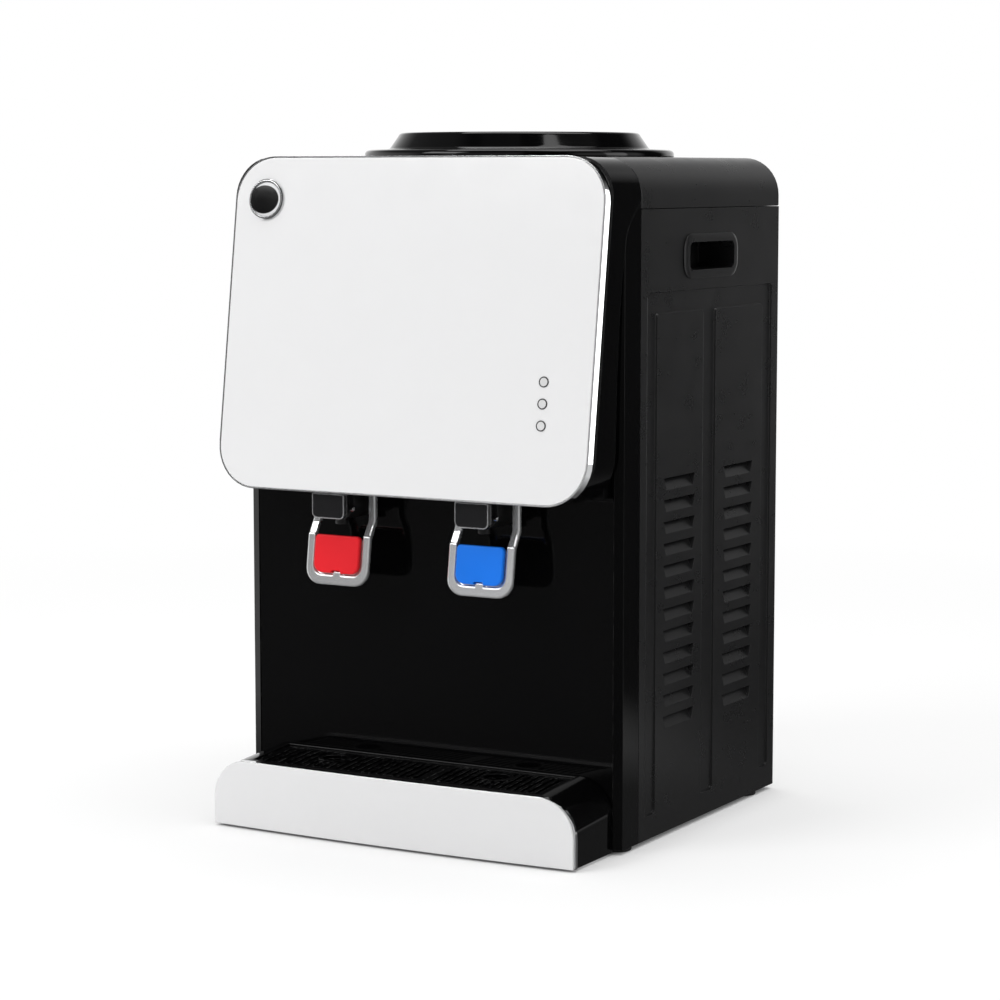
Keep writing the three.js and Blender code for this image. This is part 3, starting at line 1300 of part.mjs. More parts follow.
function paddle() {
  const rear = LEVER_THICKNESS / 2 - LEVER_WEB - CLEARANCE;
  const top = -PADDLE_DROP;
  const outline = roundedRect(-PADDLE_WIDTH / 2, PADDLE_WIDTH / 2, top - PADDLE_HEIGHT, top, [
    PADDLE_BOTTOM_CORNER,
    PADDLE_BOTTOM_CORNER,
    PADDLE_TOP_CORNER,
    PADDLE_TOP_CORNER,
  ]);
  const bevel = 0.8;
  const geometry = new THREE.ExtrudeGeometry(outline, {
    depth: PADDLE_THICKNESS - 2 * bevel,
    bevelEnabled: true,
    bevelThickness: bevel,
    bevelSize: bevel,
    bevelOffset: -bevel,
    bevelSegments: 1,
    curveSegments: 3,
  });
  geometry.translate(0, 0, -rear + bevel).applyMatrix4(new THREE.Matrix4().makeBasis(...AXES.y));
  const notch = pushed(tabOutline(2 * CLEARANCE), "y", -PADDLE_THICKNESS - BEYOND, BEYOND, SMALL_ARC_STEPS);
  return leaning(cut(solid(geometry), notch), LEVER_LOOP_Y, LEVER_LOOP_TOP);
}

function tap(prefix, side, paddleMaterial) {
  const group = new THREE.Group();
  group.position.x = (side * TAP_SPACING) / 2;
  group.add(
    piece(`${prefix}_tap_body`, tapBody(), MATT_BLACK),
    piece(`${prefix}_tap_cap`, tapCap(), SMOKE),
    piece(`${prefix}_lever_pin`, leverPin(), STEEL),
    piece(`${prefix}_lever`, lever(), CHROME),
    piece(`${prefix}_paddle`, paddle(), paddleMaterial),
  );
  return group;
}

// ---------------------------------------------------------------- base, feet and rear

function basePlate() {
  const half = HALF - MOULDED_WALL - CLEARANCE;
  const front = SPLASH_REAR + MOULDED_WALL + 2 * CLEARANCE;
  const rear = REAR_SHEET_Y - SHEET - CLEARANCE;
  const flangeTop = FLOOR_TOP + BASE_FLANGE;
  const above = flangeTop + BEYOND;
  const pan = cut(
    box(-half, half, front, rear, FOOT_HEIGHT, flangeTop),
    box(-half + SHEET, half - SHEET, front + SHEET, rear - SHEET, FLOOR_TOP, above),
  );
  const foldRoom = [-1, 1].map((side) => {
    const near = side * (HALF - FLANGE - CLEARANCE);
    const [x0, x1] = side > 0 ? [near, HALF] : [-HALF, near];
    return box(x0, x1, SIDE_FRONT - CLEARANCE, SIDE_FRONT + SHEET + CLEARANCE, 0, above);
  });
  const ventY = WELL_Y + VENT_SHIFT;
  const vents = Array.from({ length: VENT_COUNT }, (_, i) => {
    const x = VENT_MARGIN - HALF + i * VENT_PITCH;
    return box(x, x + VENT_WIDTH, ventY - VENT_LENGTH / 2, ventY + VENT_LENGTH / 2, 0, FLOOR_TOP + BEYOND);
  });
  return cut(pan, ...foldRoom, ...vents);
}

function foot(x, y) {
  return turned(
    [
      [0, 0],
      [FOOT_RADIUS - 1, 0],
      [FOOT_RADIUS, 1],
      [FOOT_RADIUS, FOOT_HEIGHT - CLEARANCE],
      [0, FOOT_HEIGHT - CLEARANCE],
    ],
    x,
    y,
    16,
  );
}

function rearPanel() {
  const half = INNER_X - CLEARANCE;
  const y0 = REAR_SHEET_Y - SHEET;
  const sheet = box(-half, half, y0, REAR_SHEET_Y, FOOT_HEIGHT, SEAM_Z - CLEARANCE);
  const window = pushed(
    roundedRect(-REAR_WINDOW_WIDTH / 2, REAR_WINDOW_WIDTH / 2, REAR_WINDOW_BOTTOM, REAR_WINDOW_TOP, 8),
    "y",
    y0 - BEYOND,
    REAR_SHEET_Y + BEYOND,
    SMALL_ARC_STEPS,
  );
  const holes = [
    rod(GLAND_RADIUS - 2 + CLEARANCE, "y", y0 - BEYOND, REAR_SHEET_Y + BEYOND, GLAND_X, GLAND_Z, 20),
    rod(DRAIN_TUBE_RADIUS + CLEARANCE, "y", y0 - BEYOND, REAR_SHEET_Y + BEYOND, DRAIN_X, DRAIN_Z, 20),
    rod(CONDENSER_TUBE + 1, "y", y0 - BEYOND, REAR_SHEET_Y + BEYOND, -CONDENSER_WIDTH / 2, CONDENSER_TOP, 12),
    ...switchPlaces().map((x) =>
      box(
        x - SWITCH_WIDTH / 2 - CLEARANCE,
        x + SWITCH_WIDTH / 2 + CLEARANCE,
        y0 - BEYOND,
        REAR_SHEET_Y + BEYOND,
        SWITCH_Z - SWITCH_HEIGHT / 2 - CLEARANCE,
        SWITCH_Z + SWITCH_HEIGHT / 2 + CLEARANCE,
      ),
    ),
  ];
  return cut(sheet, window, ...holes);
}

function switchPlaces() {
  return [SWITCH_X, SWITCH_X - SWITCH_PITCH];
}

// A rectangular snap-in housing, open to the rear, around (x, SWITCH_Z).
function switchHousing(x) {
  const face = REAR_SHEET_Y + CLEARANCE;
  const w = SWITCH_WIDTH / 2;
  const h = SWITCH_HEIGHT / 2;
  const rimW = w + SWITCH_RIM;
  const rimH = h + SWITCH_RIM;
  const rim = box(x - rimW, x + rimW, face, face + 2, SWITCH_Z - rimH, SWITCH_Z + rimH);
  const body = box(x - w, x + w, REAR_SHEET_Y - SWITCH_DEPTH, face + OVERLAP, SWITCH_Z - h, SWITCH_Z + h);
  const wall = 1.5;
  const hollow = box(
    x - w + wall,
    x + w - wall,
    REAR_SHEET_Y - SWITCH_DEPTH + wall,
    face + BEYOND,
    SWITCH_Z - h + wall,
    SWITCH_Z + h - wall,
  );
  return cut(join(rim, body), hollow);
}

const ROCKER_PIVOT_DEPTH = 3.5; // below the panel's face
const ROCKER_WALL_GAP = 0.5;

// A rocker with a shallow V face, tipped to its "on" side.
function rocker(x) {
  const half = SWITCH_WIDTH / 2 - 1.5 - ROCKER_WALL_GAP;
  const reach = SWITCH_HEIGHT / 2 - 1.5 - ROCKER_WALL_GAP - 1;
  const radius = 5.6;
  const shape = new THREE.Shape();
  shape.moveTo(-reach * 0.55, -radius);
  shape.lineTo(reach * 0.55, -radius);
  shape.lineTo(reach, radius - 1.2);
  shape.lineTo(reach - 0.6, radius);
  shape.lineTo(0, radius - 1.4);
  shape.lineTo(-reach + 0.6, radius);
  shape.lineTo(-reach, radius - 1.2);
  const geometry = new THREE.ExtrudeGeometry(shape, { depth: 2 * half, bevelEnabled: false });
  geometry.translate(0, 0, -half);
  const toRear = new THREE.Matrix4().makeBasis(
    new THREE.Vector3(0, 0, -1),
    new THREE.Vector3(0, 1, 0),
    new THREE.Vector3(1, 0, 0),
  );
  geometry.applyMatrix4(toRear).rotateX(ROCKER_TILT);
  geometry.translate(x, REAR_SHEET_Y - ROCKER_PIVOT_DEPTH, SWITCH_Z);
  return solid(geometry);
}

function cordGland() {
  const face = REAR_SHEET_Y + CLEARANCE;
  const inside = REAR_SHEET_Y - SHEET - CLEARANCE;
  const flange = rod(GLAND_RADIUS, "y", face, face + 3, GLAND_X, GLAND_Z, 20);
  const neck = rod(GLAND_RADIUS - 2, "y", inside - 3, face + OVERLAP, GLAND_X, GLAND_Z, 20);
  const bore = rod(GLAND_BORE, "y", inside - BEYOND, face + BEYOND, GLAND_X, GLAND_Z, 14);
  return cut(join(flange, neck), bore);
}

function drainSpout() {
  const rear = REAR_SHEET_Y + DRAIN_PROUD;
  const inside = REAR_SHEET_Y - SHEET - CLEARANCE;
  const outer = rod(DRAIN_TUBE_RADIUS, "y", inside - 26, rear, DRAIN_X, DRAIN_Z, 16);
  const flange = rod(DRAIN_TUBE_RADIUS + 4, "y", inside - 3, inside, DRAIN_X, DRAIN_Z, 16);
  const bore = rod(DRAIN_TUBE_RADIUS - 2.5, "y", inside - 23, rear + BEYOND, DRAIN_X, DRAIN_Z, 12);
  return cut(join(outer, flange), bore);
}

// Screw cap with finger flutes over the drain spout.
function drainCap() {
  const front = REAR_SHEET_Y + CLEARANCE;
  const rear = front + DRAIN_CAP_LENGTH - 2;
  const body = rod(DRAIN_CAP_RADIUS, "y", front, rear, DRAIN_X, DRAIN_Z, 16);
  const depth = REAR_SHEET_Y + DRAIN_PROUD + CLEARANCE;
  const socket = rod(DRAIN_TUBE_RADIUS + CLEARANCE, "y", front - BEYOND, depth, DRAIN_X, DRAIN_Z, 16);
  const flutes = Array.from({ length: 6 }, (_, i) => {
    const angle = (i * Math.PI) / 3;
    const reach = DRAIN_CAP_RADIUS + 0.9;
    const x = DRAIN_X + reach * Math.cos(angle);
    const z = DRAIN_Z + reach * Math.sin(angle);
    return rod(2, "y", front + 3, rear + BEYOND, x, z, 6);
  });
  return cut(body, socket, ...flutes);
}

// Serpentine tube with a mat of wires and two rails that hold it off the rear panel. Its lower end
// comes in through the window in the rear panel, its upper end through a small hole.
function condenser() {
  const half = CONDENSER_WIDTH / 2;
  const corners = [
    [CONDENSER_END_X, CONDENSER_END_Y, CONDENSER_END_Z],
    [CONDENSER_END_X, CONDENSER_Y, CONDENSER_END_Z],
    [CONDENSER_END_X, CONDENSER_Y, CONDENSER_BOTTOM],
  ];
  for (let i = 0; i < CONDENSER_RUNS - 1; i++) {
    const x = i % 2 ? -half : half;
    const z = CONDENSER_BOTTOM + i * CONDENSER_PITCH;
    corners.push([x, CONDENSER_Y, z], [x, CONDENSER_Y, z + CONDENSER_PITCH]);
  }
  corners.push([-half, CONDENSER_Y, CONDENSER_TOP], [-half, CONDENSER_Y - 16, CONDENSER_TOP]);
  const serpentine = tube(bentPath(corners, CONDENSER_PITCH / 2, 2), CONDENSER_TUBE, 6, UP);
  const low = CONDENSER_BOTTOM - 12;
  const high = CONDENSER_TOP + 12;
  const field = CONDENSER_WIDTH - CONDENSER_PITCH - 2 * CONDENSER_RAIL_WIDTH - 12;
  const wires = Array.from({ length: CONDENSER_WIRES }, (_, i) => {
    const x = -field / 2 + (field * i) / (CONDENSER_WIRES - 1) - WIRE / 2;
    return box(x, x + WIRE, WIRE_Y, WIRE_Y + WIRE, low, high);
  });
  const railFace = CONDENSER_Y - CONDENSER_TUBE + OVERLAP;
  const rails = [-1, 1].flatMap((side) => {
    const x0 = side * (field / 2 + 10) - CONDENSER_RAIL_WIDTH / 2;
    const x1 = x0 + CONDENSER_RAIL_WIDTH;
    const feet = [low, high - 14].map((z) => box(x0, x1, REAR_SHEET_Y + CLEARANCE, railFace - 1, z, z + 14));
    return [box(x0, x1, railFace - 1.4, railFace, low, high), ...feet];
  });
  return join(serpentine, ...wires, ...rails);
}

// ---------------------------------------------------------------- tanks, compressor and pipes

function tankShelf() {
  const half = HALF - LOUVRE_DEPTH - 2 * SHEET - CLEARANCE;
  const front = FOAM_FRONT;
  const rear = REAR_SHEET_Y - SHEET - CLEARANCE;
  const bottom = SHELF_Z - SHELF_THICKNESS;
  const top = box(-half, half, front, rear, bottom, SHELF_Z);
  const folds = [
    box(-half, -half + SHELF_THICKNESS, front, rear, bottom - FLANGE, SHELF_Z),
    box(half - SHELF_THICKNESS, half, front, rear, bottom - FLANGE, SHELF_Z),
    box(-half, half, rear - SHELF_THICKNESS, rear, bottom - FLANGE, SHELF_Z),
  ];
  const hoseHole = rod(HOSE_RADIUS + 5, "z", bottom - BEYOND, SHELF_Z + BEYOND, 0, WELL_Y, 16);
  const holeRadius = COPPER_RADIUS + 2;
  const pipeHole = rod(holeRadius, "z", bottom - BEYOND, SHELF_Z + BEYOND, COMPRESSOR_X, SUCTION_Y, 12);
  return cut(join(top, ...folds), hoseHole, pipeHole);
}

function tankFoam() {
  const bottom = FOAM_BOTTOM;
  const block = pushed(
    roundedRect(-FOAM_WIDTH / 2, FOAM_WIDTH / 2, FOAM_FRONT, FOAM_FRONT + FOAM_DEPTH, FOAM_CORNER),
    "z",
    bottom,
    FOAM_TOP,
    4,
  );
  const well = rod(TANK_RADIUS + CLEARANCE, "z", bottom + FOAM_FLOOR, CABINET_TOP, 0, WELL_Y, 24);
  const outlet = rod(HOSE_RADIUS + 1, "z", bottom - BEYOND, CABINET_TOP, 0, WELL_Y, 14);
  const holeRadius = COPPER_RADIUS + 2 * CLEARANCE;
  const pipeHole = rod(holeRadius, "z", bottom - BEYOND, SUCTION_TOP + 1, COMPRESSOR_X, SUCTION_Y, 12);
  const x = TAP_SPACING / 2;
  const reach = HOSE_RADIUS + 1;
  const channel = box(x - reach, x + reach, FOAM_FRONT - BEYOND, WELL_Y, HOSE_Z - reach, HOSE_Z + reach);
  return cut(block, well, outlet, pipeHole, channel);
}

function coldTank() {
  const bottom = TANK_BOTTOM;
  const top = TANK_TOP;
  const wall = TANK_WALL;
  const outer = TANK_RADIUS;
  return turned(
    [
      [0, bottom],
      [outer - 6, bottom],
      [outer, bottom + 6],
      [outer, top],
      [TANK_MOUTH, top],
      [TANK_MOUTH, top - wall],
      [outer - wall, top - wall],
      [outer - wall, bottom + 7],
      [outer - 7, bottom + wall],
      [0, bottom + wall],
    ],
    0,
    WELL_Y,
    24,
  );
}

function hotTank() {
  const bottom = HOT_TANK_BOTTOM;
  const top = bottom + HOT_TANK_HEIGHT;
  const body = turned(
    [
      [0, bottom],
      [HOT_TANK_RADIUS - 12, bottom],
      [HOT_TANK_RADIUS, bottom + 8],
      [HOT_TANK_RADIUS, top - 8],
      [HOT_TANK_RADIUS - 12, top],
      [0, top],
    ],
    HOT_TANK_X,
    HOT_TANK_Y,
    22,
  );
  const inlet = rod(NIPPLE_RADIUS, "z", bottom - NIPPLE_LENGTH, bottom + OVERLAP, HOT_TANK_X, HOT_TANK_Y, 12);
  const outlet = rod(
    NIPPLE_RADIUS,
    "y",
    HOT_TANK_Y - HOT_TANK_RADIUS - NIPPLE_LENGTH,
    HOT_TANK_Y - HOT_TANK_RADIUS + 6,
    HOT_TANK_X,
    BARREL_Z,
    12,
  );
  return join(body, inlet, outlet);
}

// Strap that hangs from the shelf and carries the hot tank.
function hotTankCradle() {
  const top = SHELF_Z - SHELF_THICKNESS - CLEARANCE;
  const low = HOT_TANK_BOTTOM - CLEARANCE;
  const half = HOT_TANK_RADIUS + CLEARANCE + SHEET / 2;
  const line = [
    [HOT_TANK_X - half - 16, top - SHEET / 2],
    [HOT_TANK_X - half, top - SHEET / 2],
    [HOT_TANK_X - half, low - SHEET / 2],
    [HOT_TANK_X + half, low - SHEET / 2],
    [HOT_TANK_X + half, top - SHEET / 2],
    [HOT_TANK_X + half + 16, top - SHEET / 2],
  ];
  const strap = pushed(band(line, SHEET), "y", HOT_TANK_Y - CRADLE_WIDTH / 2, HOT_TANK_Y + CRADLE_WIDTH / 2);
  const inletHole = rod(NIPPLE_RADIUS + 1, "z", low - BEYOND, low + 3, HOT_TANK_X, HOT_TANK_Y, 14);
  return cut(strap, inletHole);
}

function compressorMount() {
  const z = FLOOR_TOP + CLEARANCE;
  const plateZ = z + GROMMET_HEIGHT;
  const plate = pushed(
    roundedRect(
      COMPRESSOR_X - GROMMET_SPREAD - 8,
      COMPRESSOR_X + GROMMET_SPREAD + 8,
      COMPRESSOR_Y - GROMMET_SPREAD / 2 - 8,
      COMPRESSOR_Y + GROMMET_SPREAD / 2 + 8,
      10,
    ),
    "z",
    plateZ,
    plateZ + MOUNT_THICKNESS,
    SMALL_ARC_STEPS,
  );
  const grommets = [-1, 1].flatMap((sx) =>
    [-1, 1].map((sy) =>
      turned(
        [
          [0, z],
          [GROMMET_RADIUS, z],
          [GROMMET_RADIUS - 2, plateZ + OVERLAP],
          [0, plateZ + OVERLAP],
        ],
        COMPRESSOR_X + sx * GROMMET_SPREAD,
        COMPRESSOR_Y + (sy * GROMMET_SPREAD) / 2,
        8,
      ),
    ),
  );
  return join(plate, ...grommets);
}

function compressor() {
  const z = COMPRESSOR_BOTTOM;
  const top = COMPRESSOR_TOP;
  const r = COMPRESSOR_RADIUS;
  const seam = z + COMPRESSOR_HEIGHT * 0.52;
  const shell = turned(
    [
      [0, z],
      [r * 0.62, z],
      [r * 0.88, z + 12],
      [r * 0.97, z + 34],
      [r * 0.98, seam - 3],
      [r, seam - 3],
      [r, seam + 3],
      [r * 0.96, seam + 3],
      [r * 0.93, seam + 24],
      [r * 0.74, top - 12],
      [r * 0.4, top - 2],
      [0, top],
    ],
    COMPRESSOR_X,
    COMPRESSOR_Y,
    22,
  );
  const terminalBox = box(
    COMPRESSOR_X - r - 14,
    COMPRESSOR_X - r * 0.8,
    COMPRESSOR_Y - 22,
    COMPRESSOR_Y + 22,
    z + 28,
    z + 72,
  );
  return join(shell, terminalBox);
}

function coldHose() {
  const x = TAP_SPACING / 2;
  const riseY = SHANK_REAR + 12;
  const tankY = WELL_Y - Math.sqrt(TANK_RADIUS ** 2 - (x - HOSE_RADIUS) ** 2) - 2 * CLEARANCE;
  const corners = [
    [x, SHANK_REAR + CLEARANCE, BARREL_Z],
    [x, riseY, BARREL_Z],
    [x, riseY, HOSE_Z],
    [x, tankY, HOSE_Z],
  ];
  return tube(bentPath(corners, 9), HOSE_RADIUS, 6, UP);
}

function hotHose() {
  const end = HOT_TANK_Y - HOT_TANK_RADIUS - NIPPLE_LENGTH - CLEARANCE;
  return rod(HOSE_RADIUS + 1, "y", SHANK_REAR + CLEARANCE, end, HOT_TANK_X, BARREL_Z, 12);
}

// Hose from the bottom of the cold tank down to the hot tank's inlet.
function feedHose() {
  const corners = [
    [0, WELL_Y, TANK_BOTTOM - CLEARANCE],
    [0, WELL_Y, HOT_TANK_BOTTOM + FEED_DROP],
    [HOT_TANK_X / 6, HOT_TANK_Y + FEED_SWING, HOT_TANK_BOTTOM],
    [HOT_TANK_X / 2, HOT_TANK_Y + FEED_SWING / 2, HOT_TANK_BOTTOM - FEED_DROP * 0.9],
    [HOT_TANK_X, HOT_TANK_Y, HOT_TANK_BOTTOM - FEED_DROP],
    [HOT_TANK_X, HOT_TANK_Y, HOT_TANK_BOTTOM - NIPPLE_LENGTH - CLEARANCE],
  ];
  return tube(bentPath(corners, 12), HOSE_RADIUS, 6, new THREE.Vector3(1, 0, 0));
}

function suctionPipe() {
  const corners = [
    [COMPRESSOR_X, COMPRESSOR_Y, COMPRESSOR_TOP + CLEARANCE],
    [COMPRESSOR_X, COMPRESSOR_Y, COMPRESSOR_TOP + PIPE_RISE],
    [COMPRESSOR_X, SUCTION_Y, COMPRESSOR_TOP + 2 * PIPE_RISE],
    [COMPRESSOR_X, SUCTION_Y, SUCTION_TOP],
  ];
  return tube(bentPath(corners, 12), COPPER_RADIUS, 6, new THREE.Vector3(1, 0, 0));
}

// Pipe from the compressor's side to the end of the condenser.
function dischargePipe() {
  const y = COMPRESSOR_Y + COMPRESSOR_RADIUS / 2;
  const offset = y + COPPER_RADIUS - COMPRESSOR_Y;
  const reach = Math.sqrt(COMPRESSOR_RADIUS ** 2 - offset ** 2);
  const corners = [
    [COMPRESSOR_X - reach - 2, y, DISCHARGE_Z],
    [CONDENSER_END_X, y, CONDENSER_END_Z],
    [CONDENSER_END_X, CONDENSER_END_Y - CLEARANCE, CONDENSER_END_Z],
  ];
  return tube(bentPath(corners, 12), COPPER_RADIUS, 6, UP);
}

// ---------------------------------------------------------------- assembly

const assembly = new THREE.Group();
assembly.position.y = (FRONT_REACH - REAR_REACH) / 2;

assembly.add(piece("front_frame", frontFrame(), GLOSS_BLACK));
assembly.add(piece("splash_panel", splashPanel(), GLOSS_BLACK));
assembly.add(piece("hood_shell", hoodShell(), GLOSS_BLACK));
assembly.add(facia());

const rightSide = new THREE.Group();
rightSide.add(piece("side_panel_right", sidePanel(), SATIN_BLACK));
rightSide.add(piece("hand_hold_right", handHold(), GLOSS_BLACK));
const leftSide = new THREE.Group();
leftSide.scale.x = -1;
leftSide.add(piece("side_panel_left", sidePanel(), SATIN_BLACK));
leftSide.add(piece("hand_hold_left", handHold(), GLOSS_BLACK));
assembly.add(rightSide, leftSide);

assembly.add(piece("top_cover", topCover(), SATIN_BLACK));
assembly.add(piece("bottle_collar", bottleCollar(), GLOSS_BLACK));
assembly.add(piece("bottle_probe", bottleProbe(), MATT_BLACK));

const tray = new THREE.Group();
const grilleEnd = BASIN.half - 2 * CLEARANCE;
tray.add(
  piece("drip_tray", dripTray(), GLOSS_BLACK),
  piece("tray_front_plate", trayFrontPlate(), PANEL_WHITE),
  piece("tray_trim", trayTrim(), CHROME),
  piece("grille_left", grille(-grilleEnd, GRILLE_SPLIT_X - CLEARANCE, -DRAIN_RING_X), GLOSS_BLACK),
  piece("grille_right", grille(GRILLE_SPLIT_X + CLEARANCE, grilleEnd, DRAIN_RING_X), GLOSS_BLACK),
);
assembly.add(tray);

assembly.add(tap("hot", -1, HOT_RED), tap("cold", 1, COLD_BLUE));

assembly.add(piece("base_plate", basePlate(), GALVANISED));
[-1, 1].forEach((side) => {
  const name = side < 0 ? "left" : "right";
  assembly.add(piece(`foot_front_${name}`, foot(side * FOOT_X, FOOT_FRONT_Y), RUBBER));
  assembly.add(piece(`foot_rear_${name}`, foot(side * FOOT_X, FOOT_REAR_Y), RUBBER));
});
assembly.add(piece("rear_panel", rearPanel(), SATIN_BLACK));
["hot", "cold"].forEach((name, i) => {
  const x = switchPlaces()[i];
  assembly.add(piece(`${name}_switch_housing`, switchHousing(x), MATT_BLACK));
  assembly.add(piece(`${name}_switch_rocker`, rocker(x), name === "hot" ? HOT_RED : COLD_BLUE));
});
assembly.add(piece("cord_gland", cordGland(), MATT_BLACK));
assembly.add(piece("drain_spout", drainSpout(), MATT_BLACK));
assembly.add(piece("drain_cap", drainCap(), MATT_BLACK));
assembly.add(piece("condenser", condenser(), MATT_BLACK));

assembly.add(piece("tank_shelf", tankShelf(), GALVANISED));
assembly.add(piece("tank_foam", tankFoam(), FOAM));
assembly.add(piece("cold_tank", coldTank(), STEEL));
assembly.add(piece("hot_tank", hotTank(), STEEL));
assembly.add(piece("hot_tank_cradle", hotTankCradle(), GALVANISED));
assembly.add(piece("compressor_mount", compressorMount(), GALVANISED));
assembly.add(piece("compressor", compressor(), MATT_BLACK));
assembly.add(piece("cold_hose", coldHose(), HOSE));
assembly.add(piece("hot_hose", hotHose(), HOSE));
assembly.add(piece("feed_hose", feedHose(), HOSE));
assembly.add(piece("suction_pipe", suctionPipe(), COPPER));
assembly.add(piece("discharge_pipe", dischargePipe(), COPPER));

export default assembly;
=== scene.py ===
"""Countertop water dispenser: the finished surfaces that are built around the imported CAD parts."""

import math

import bmesh
import bpy
from mathutils import Matrix, Vector


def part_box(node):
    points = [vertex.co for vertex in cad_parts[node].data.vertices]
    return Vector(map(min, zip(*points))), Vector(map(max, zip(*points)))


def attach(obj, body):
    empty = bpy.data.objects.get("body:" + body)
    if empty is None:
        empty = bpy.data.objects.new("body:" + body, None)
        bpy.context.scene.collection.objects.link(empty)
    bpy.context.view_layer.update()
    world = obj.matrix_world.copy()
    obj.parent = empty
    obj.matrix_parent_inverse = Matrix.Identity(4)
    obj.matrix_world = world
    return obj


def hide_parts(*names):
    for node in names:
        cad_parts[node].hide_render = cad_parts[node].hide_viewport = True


bl_info = {
    "name": "Countertop Water Dispenser",
    "version": (1, 0, 0),
    "blender": (4, 5, 0),
    "location": "View3D > Sidebar > Dispenser",
    "description": "Builds the finished surfaces of a countertop bottle water dispenser",
    "category": "Add Mesh",
}

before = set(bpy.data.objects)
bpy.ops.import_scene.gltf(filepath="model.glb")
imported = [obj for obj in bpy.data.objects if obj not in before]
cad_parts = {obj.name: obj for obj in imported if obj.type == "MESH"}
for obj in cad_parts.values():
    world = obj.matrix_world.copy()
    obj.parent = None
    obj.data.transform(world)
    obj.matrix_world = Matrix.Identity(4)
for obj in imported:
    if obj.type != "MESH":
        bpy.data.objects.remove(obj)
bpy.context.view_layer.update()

MM = 0.001
CABINET = "cabinet"
LEANING = Vector((0.0, -0.9905, 0.1374)).normalized()  # the way the front panel faces


# ---------------------------------------------------------------- sizes and colours a user may change


class DispenserSizes(bpy.types.PropertyGroup):
    """Sizes of the finishing details, in metres."""

    sheet_edge: bpy.props.FloatProperty(
        name="Sheet edge",
        description="Softness of the folded sheet's edges",
        default=0.0005,
        unit="LENGTH",
    )
    moulded_edge: bpy.props.FloatProperty(
        name="Moulded edge",
        description="Radius on the edges of the mouldings",
        default=0.0009,
        unit="LENGTH",
    )
    plate_edge: bpy.props.FloatProperty(
        name="Plate edge",
        description="Radius on the edges of the front plates",
        default=0.0006,
        unit="LENGTH",
    )
    trim_flare: bpy.props.FloatProperty(
        name="Trim flare",
        description="How much wider the panel's trim is at its rear",
        default=0.0016,
        unit="LENGTH",
    )
    collar_steps: bpy.props.IntProperty(
        name="Collar steps", description="Facets round the bottle collar", default=144, min=32
    )
    foot_steps: bpy.props.IntProperty(
        name="Foot steps", description="Facets round each foot", default=40, min=12
    )


class DispenserColours(bpy.types.PropertyGroup):
    """Colours of the finishes."""

    gloss_black: bpy.props.FloatVectorProperty(
        name="Gloss black",
        description="Mouldings of the front",
        subtype="COLOR",
        default=(0.0016, 0.0016, 0.0018),
    )
    satin_black: bpy.props.FloatVectorProperty(
        name="Satin black",
        description="Painted side and rear panels",
        subtype="COLOR",
        default=(0.009, 0.009, 0.0095),
    )
    panel_white: bpy.props.FloatVectorProperty(
        name="Panel white",
        description="Front panel and tray front",
        subtype="COLOR",
        default=(0.86, 0.86, 0.865),
    )
    hot_red: bpy.props.FloatVectorProperty(
        name="Hot red", description="Hot paddle", subtype="COLOR", default=(0.87, 0.012, 0.022)
    )
    cold_blue: bpy.props.FloatVectorProperty(
        name="Cold blue", description="Cold paddle", subtype="COLOR", default=(0.004, 0.2, 0.9)
    )
    floor: bpy.props.FloatVectorProperty(
        name="Floor", description="Floor and backdrop", subtype="COLOR", default=(0.93, 0.93, 0.93)
    )


def sizes():
    return bpy.context.scene.dispenser_sizes


def colours():
    return bpy.context.scene.dispenser_colours


# ---------------------------------------------------------------- node helpers


def add(tree, kind, settings=None, inputs=None):
    """A shader node with its settings, and its inputs given as values or as sockets to link."""
    node = tree.nodes.new(kind)
    for name, value in (settings or {}).items():
        setattr(node, name, value)
    for name, value in (inputs or {}).items():
        socket = node.inputs[name]
        if isinstance(value, bpy.types.NodeSocket):
            tree.links.new(value, socket)
        else:
            socket.default_value = value
    return node


def rgba(colour):
    return (*colour, 1.0)


def math_node(tree, operation, a, b=0.0, clamp=False):
    settings = {"operation": operation, "use_clamp": clamp}
    return add(tree, "ShaderNodeMath", settings, {0: a, 1: b}).outputs[0]


def mapped(tree, value, low, high, from_low=0.0, from_high=1.0):
    """Turns the range from_low to from_high of value into low to high, and keeps within it."""
    ranges = {"From Min": from_low, "From Max": from_high, "To Min": low, "To Max": high}
    return add(tree, "ShaderNodeMapRange", inputs={"Value": value, **ranges}).outputs["Result"]


def blended(tree, factor, a, b):
    """Colour a where factor is 0 and b where it is 1."""
    node = add(tree, "ShaderNodeMix", {"data_type": "RGBA"}, {0: factor})
    for index, value in ((6, a), (7, b)):
        if isinstance(value, bpy.types.NodeSocket):
            tree.links.new(value, node.inputs[index])
        else:
            node.inputs[index].default_value = value
    return node.outputs[2]


def new_group(name, inputs, outputs):
    """An empty node group with float inputs {name: default} and outputs {name: socket type}."""
    group = bpy.data.node_groups.new(name, "ShaderNodeTree")
    for label, default in inputs.items():
        socket = group.interface.new_socket(label, in_out="INPUT", socket_type="NodeSocketFloat")
        socket.default_value = default
    for label, kind in outputs.items():
        group.interface.new_socket(label, in_out="OUTPUT", socket_type=kind)
    return group, group.nodes.new("NodeGroupInput"), group.nodes.new("NodeGroupOutput")


def use(tree, group, **inputs):
    node = add(tree, "ShaderNodeGroup", {"node_tree": group})
    for name, value in inputs.items():
        socket = node.inputs[name.replace("_", " ")]
        if isinstance(value, bpy.types.NodeSocket):
            tree.links.new(value, socket)
        else:
            socket.default_value = value
    return node.outputs


# ---------------------------------------------------------------- shared surface effects


BUMP_DEPTH = 0.1 * MM


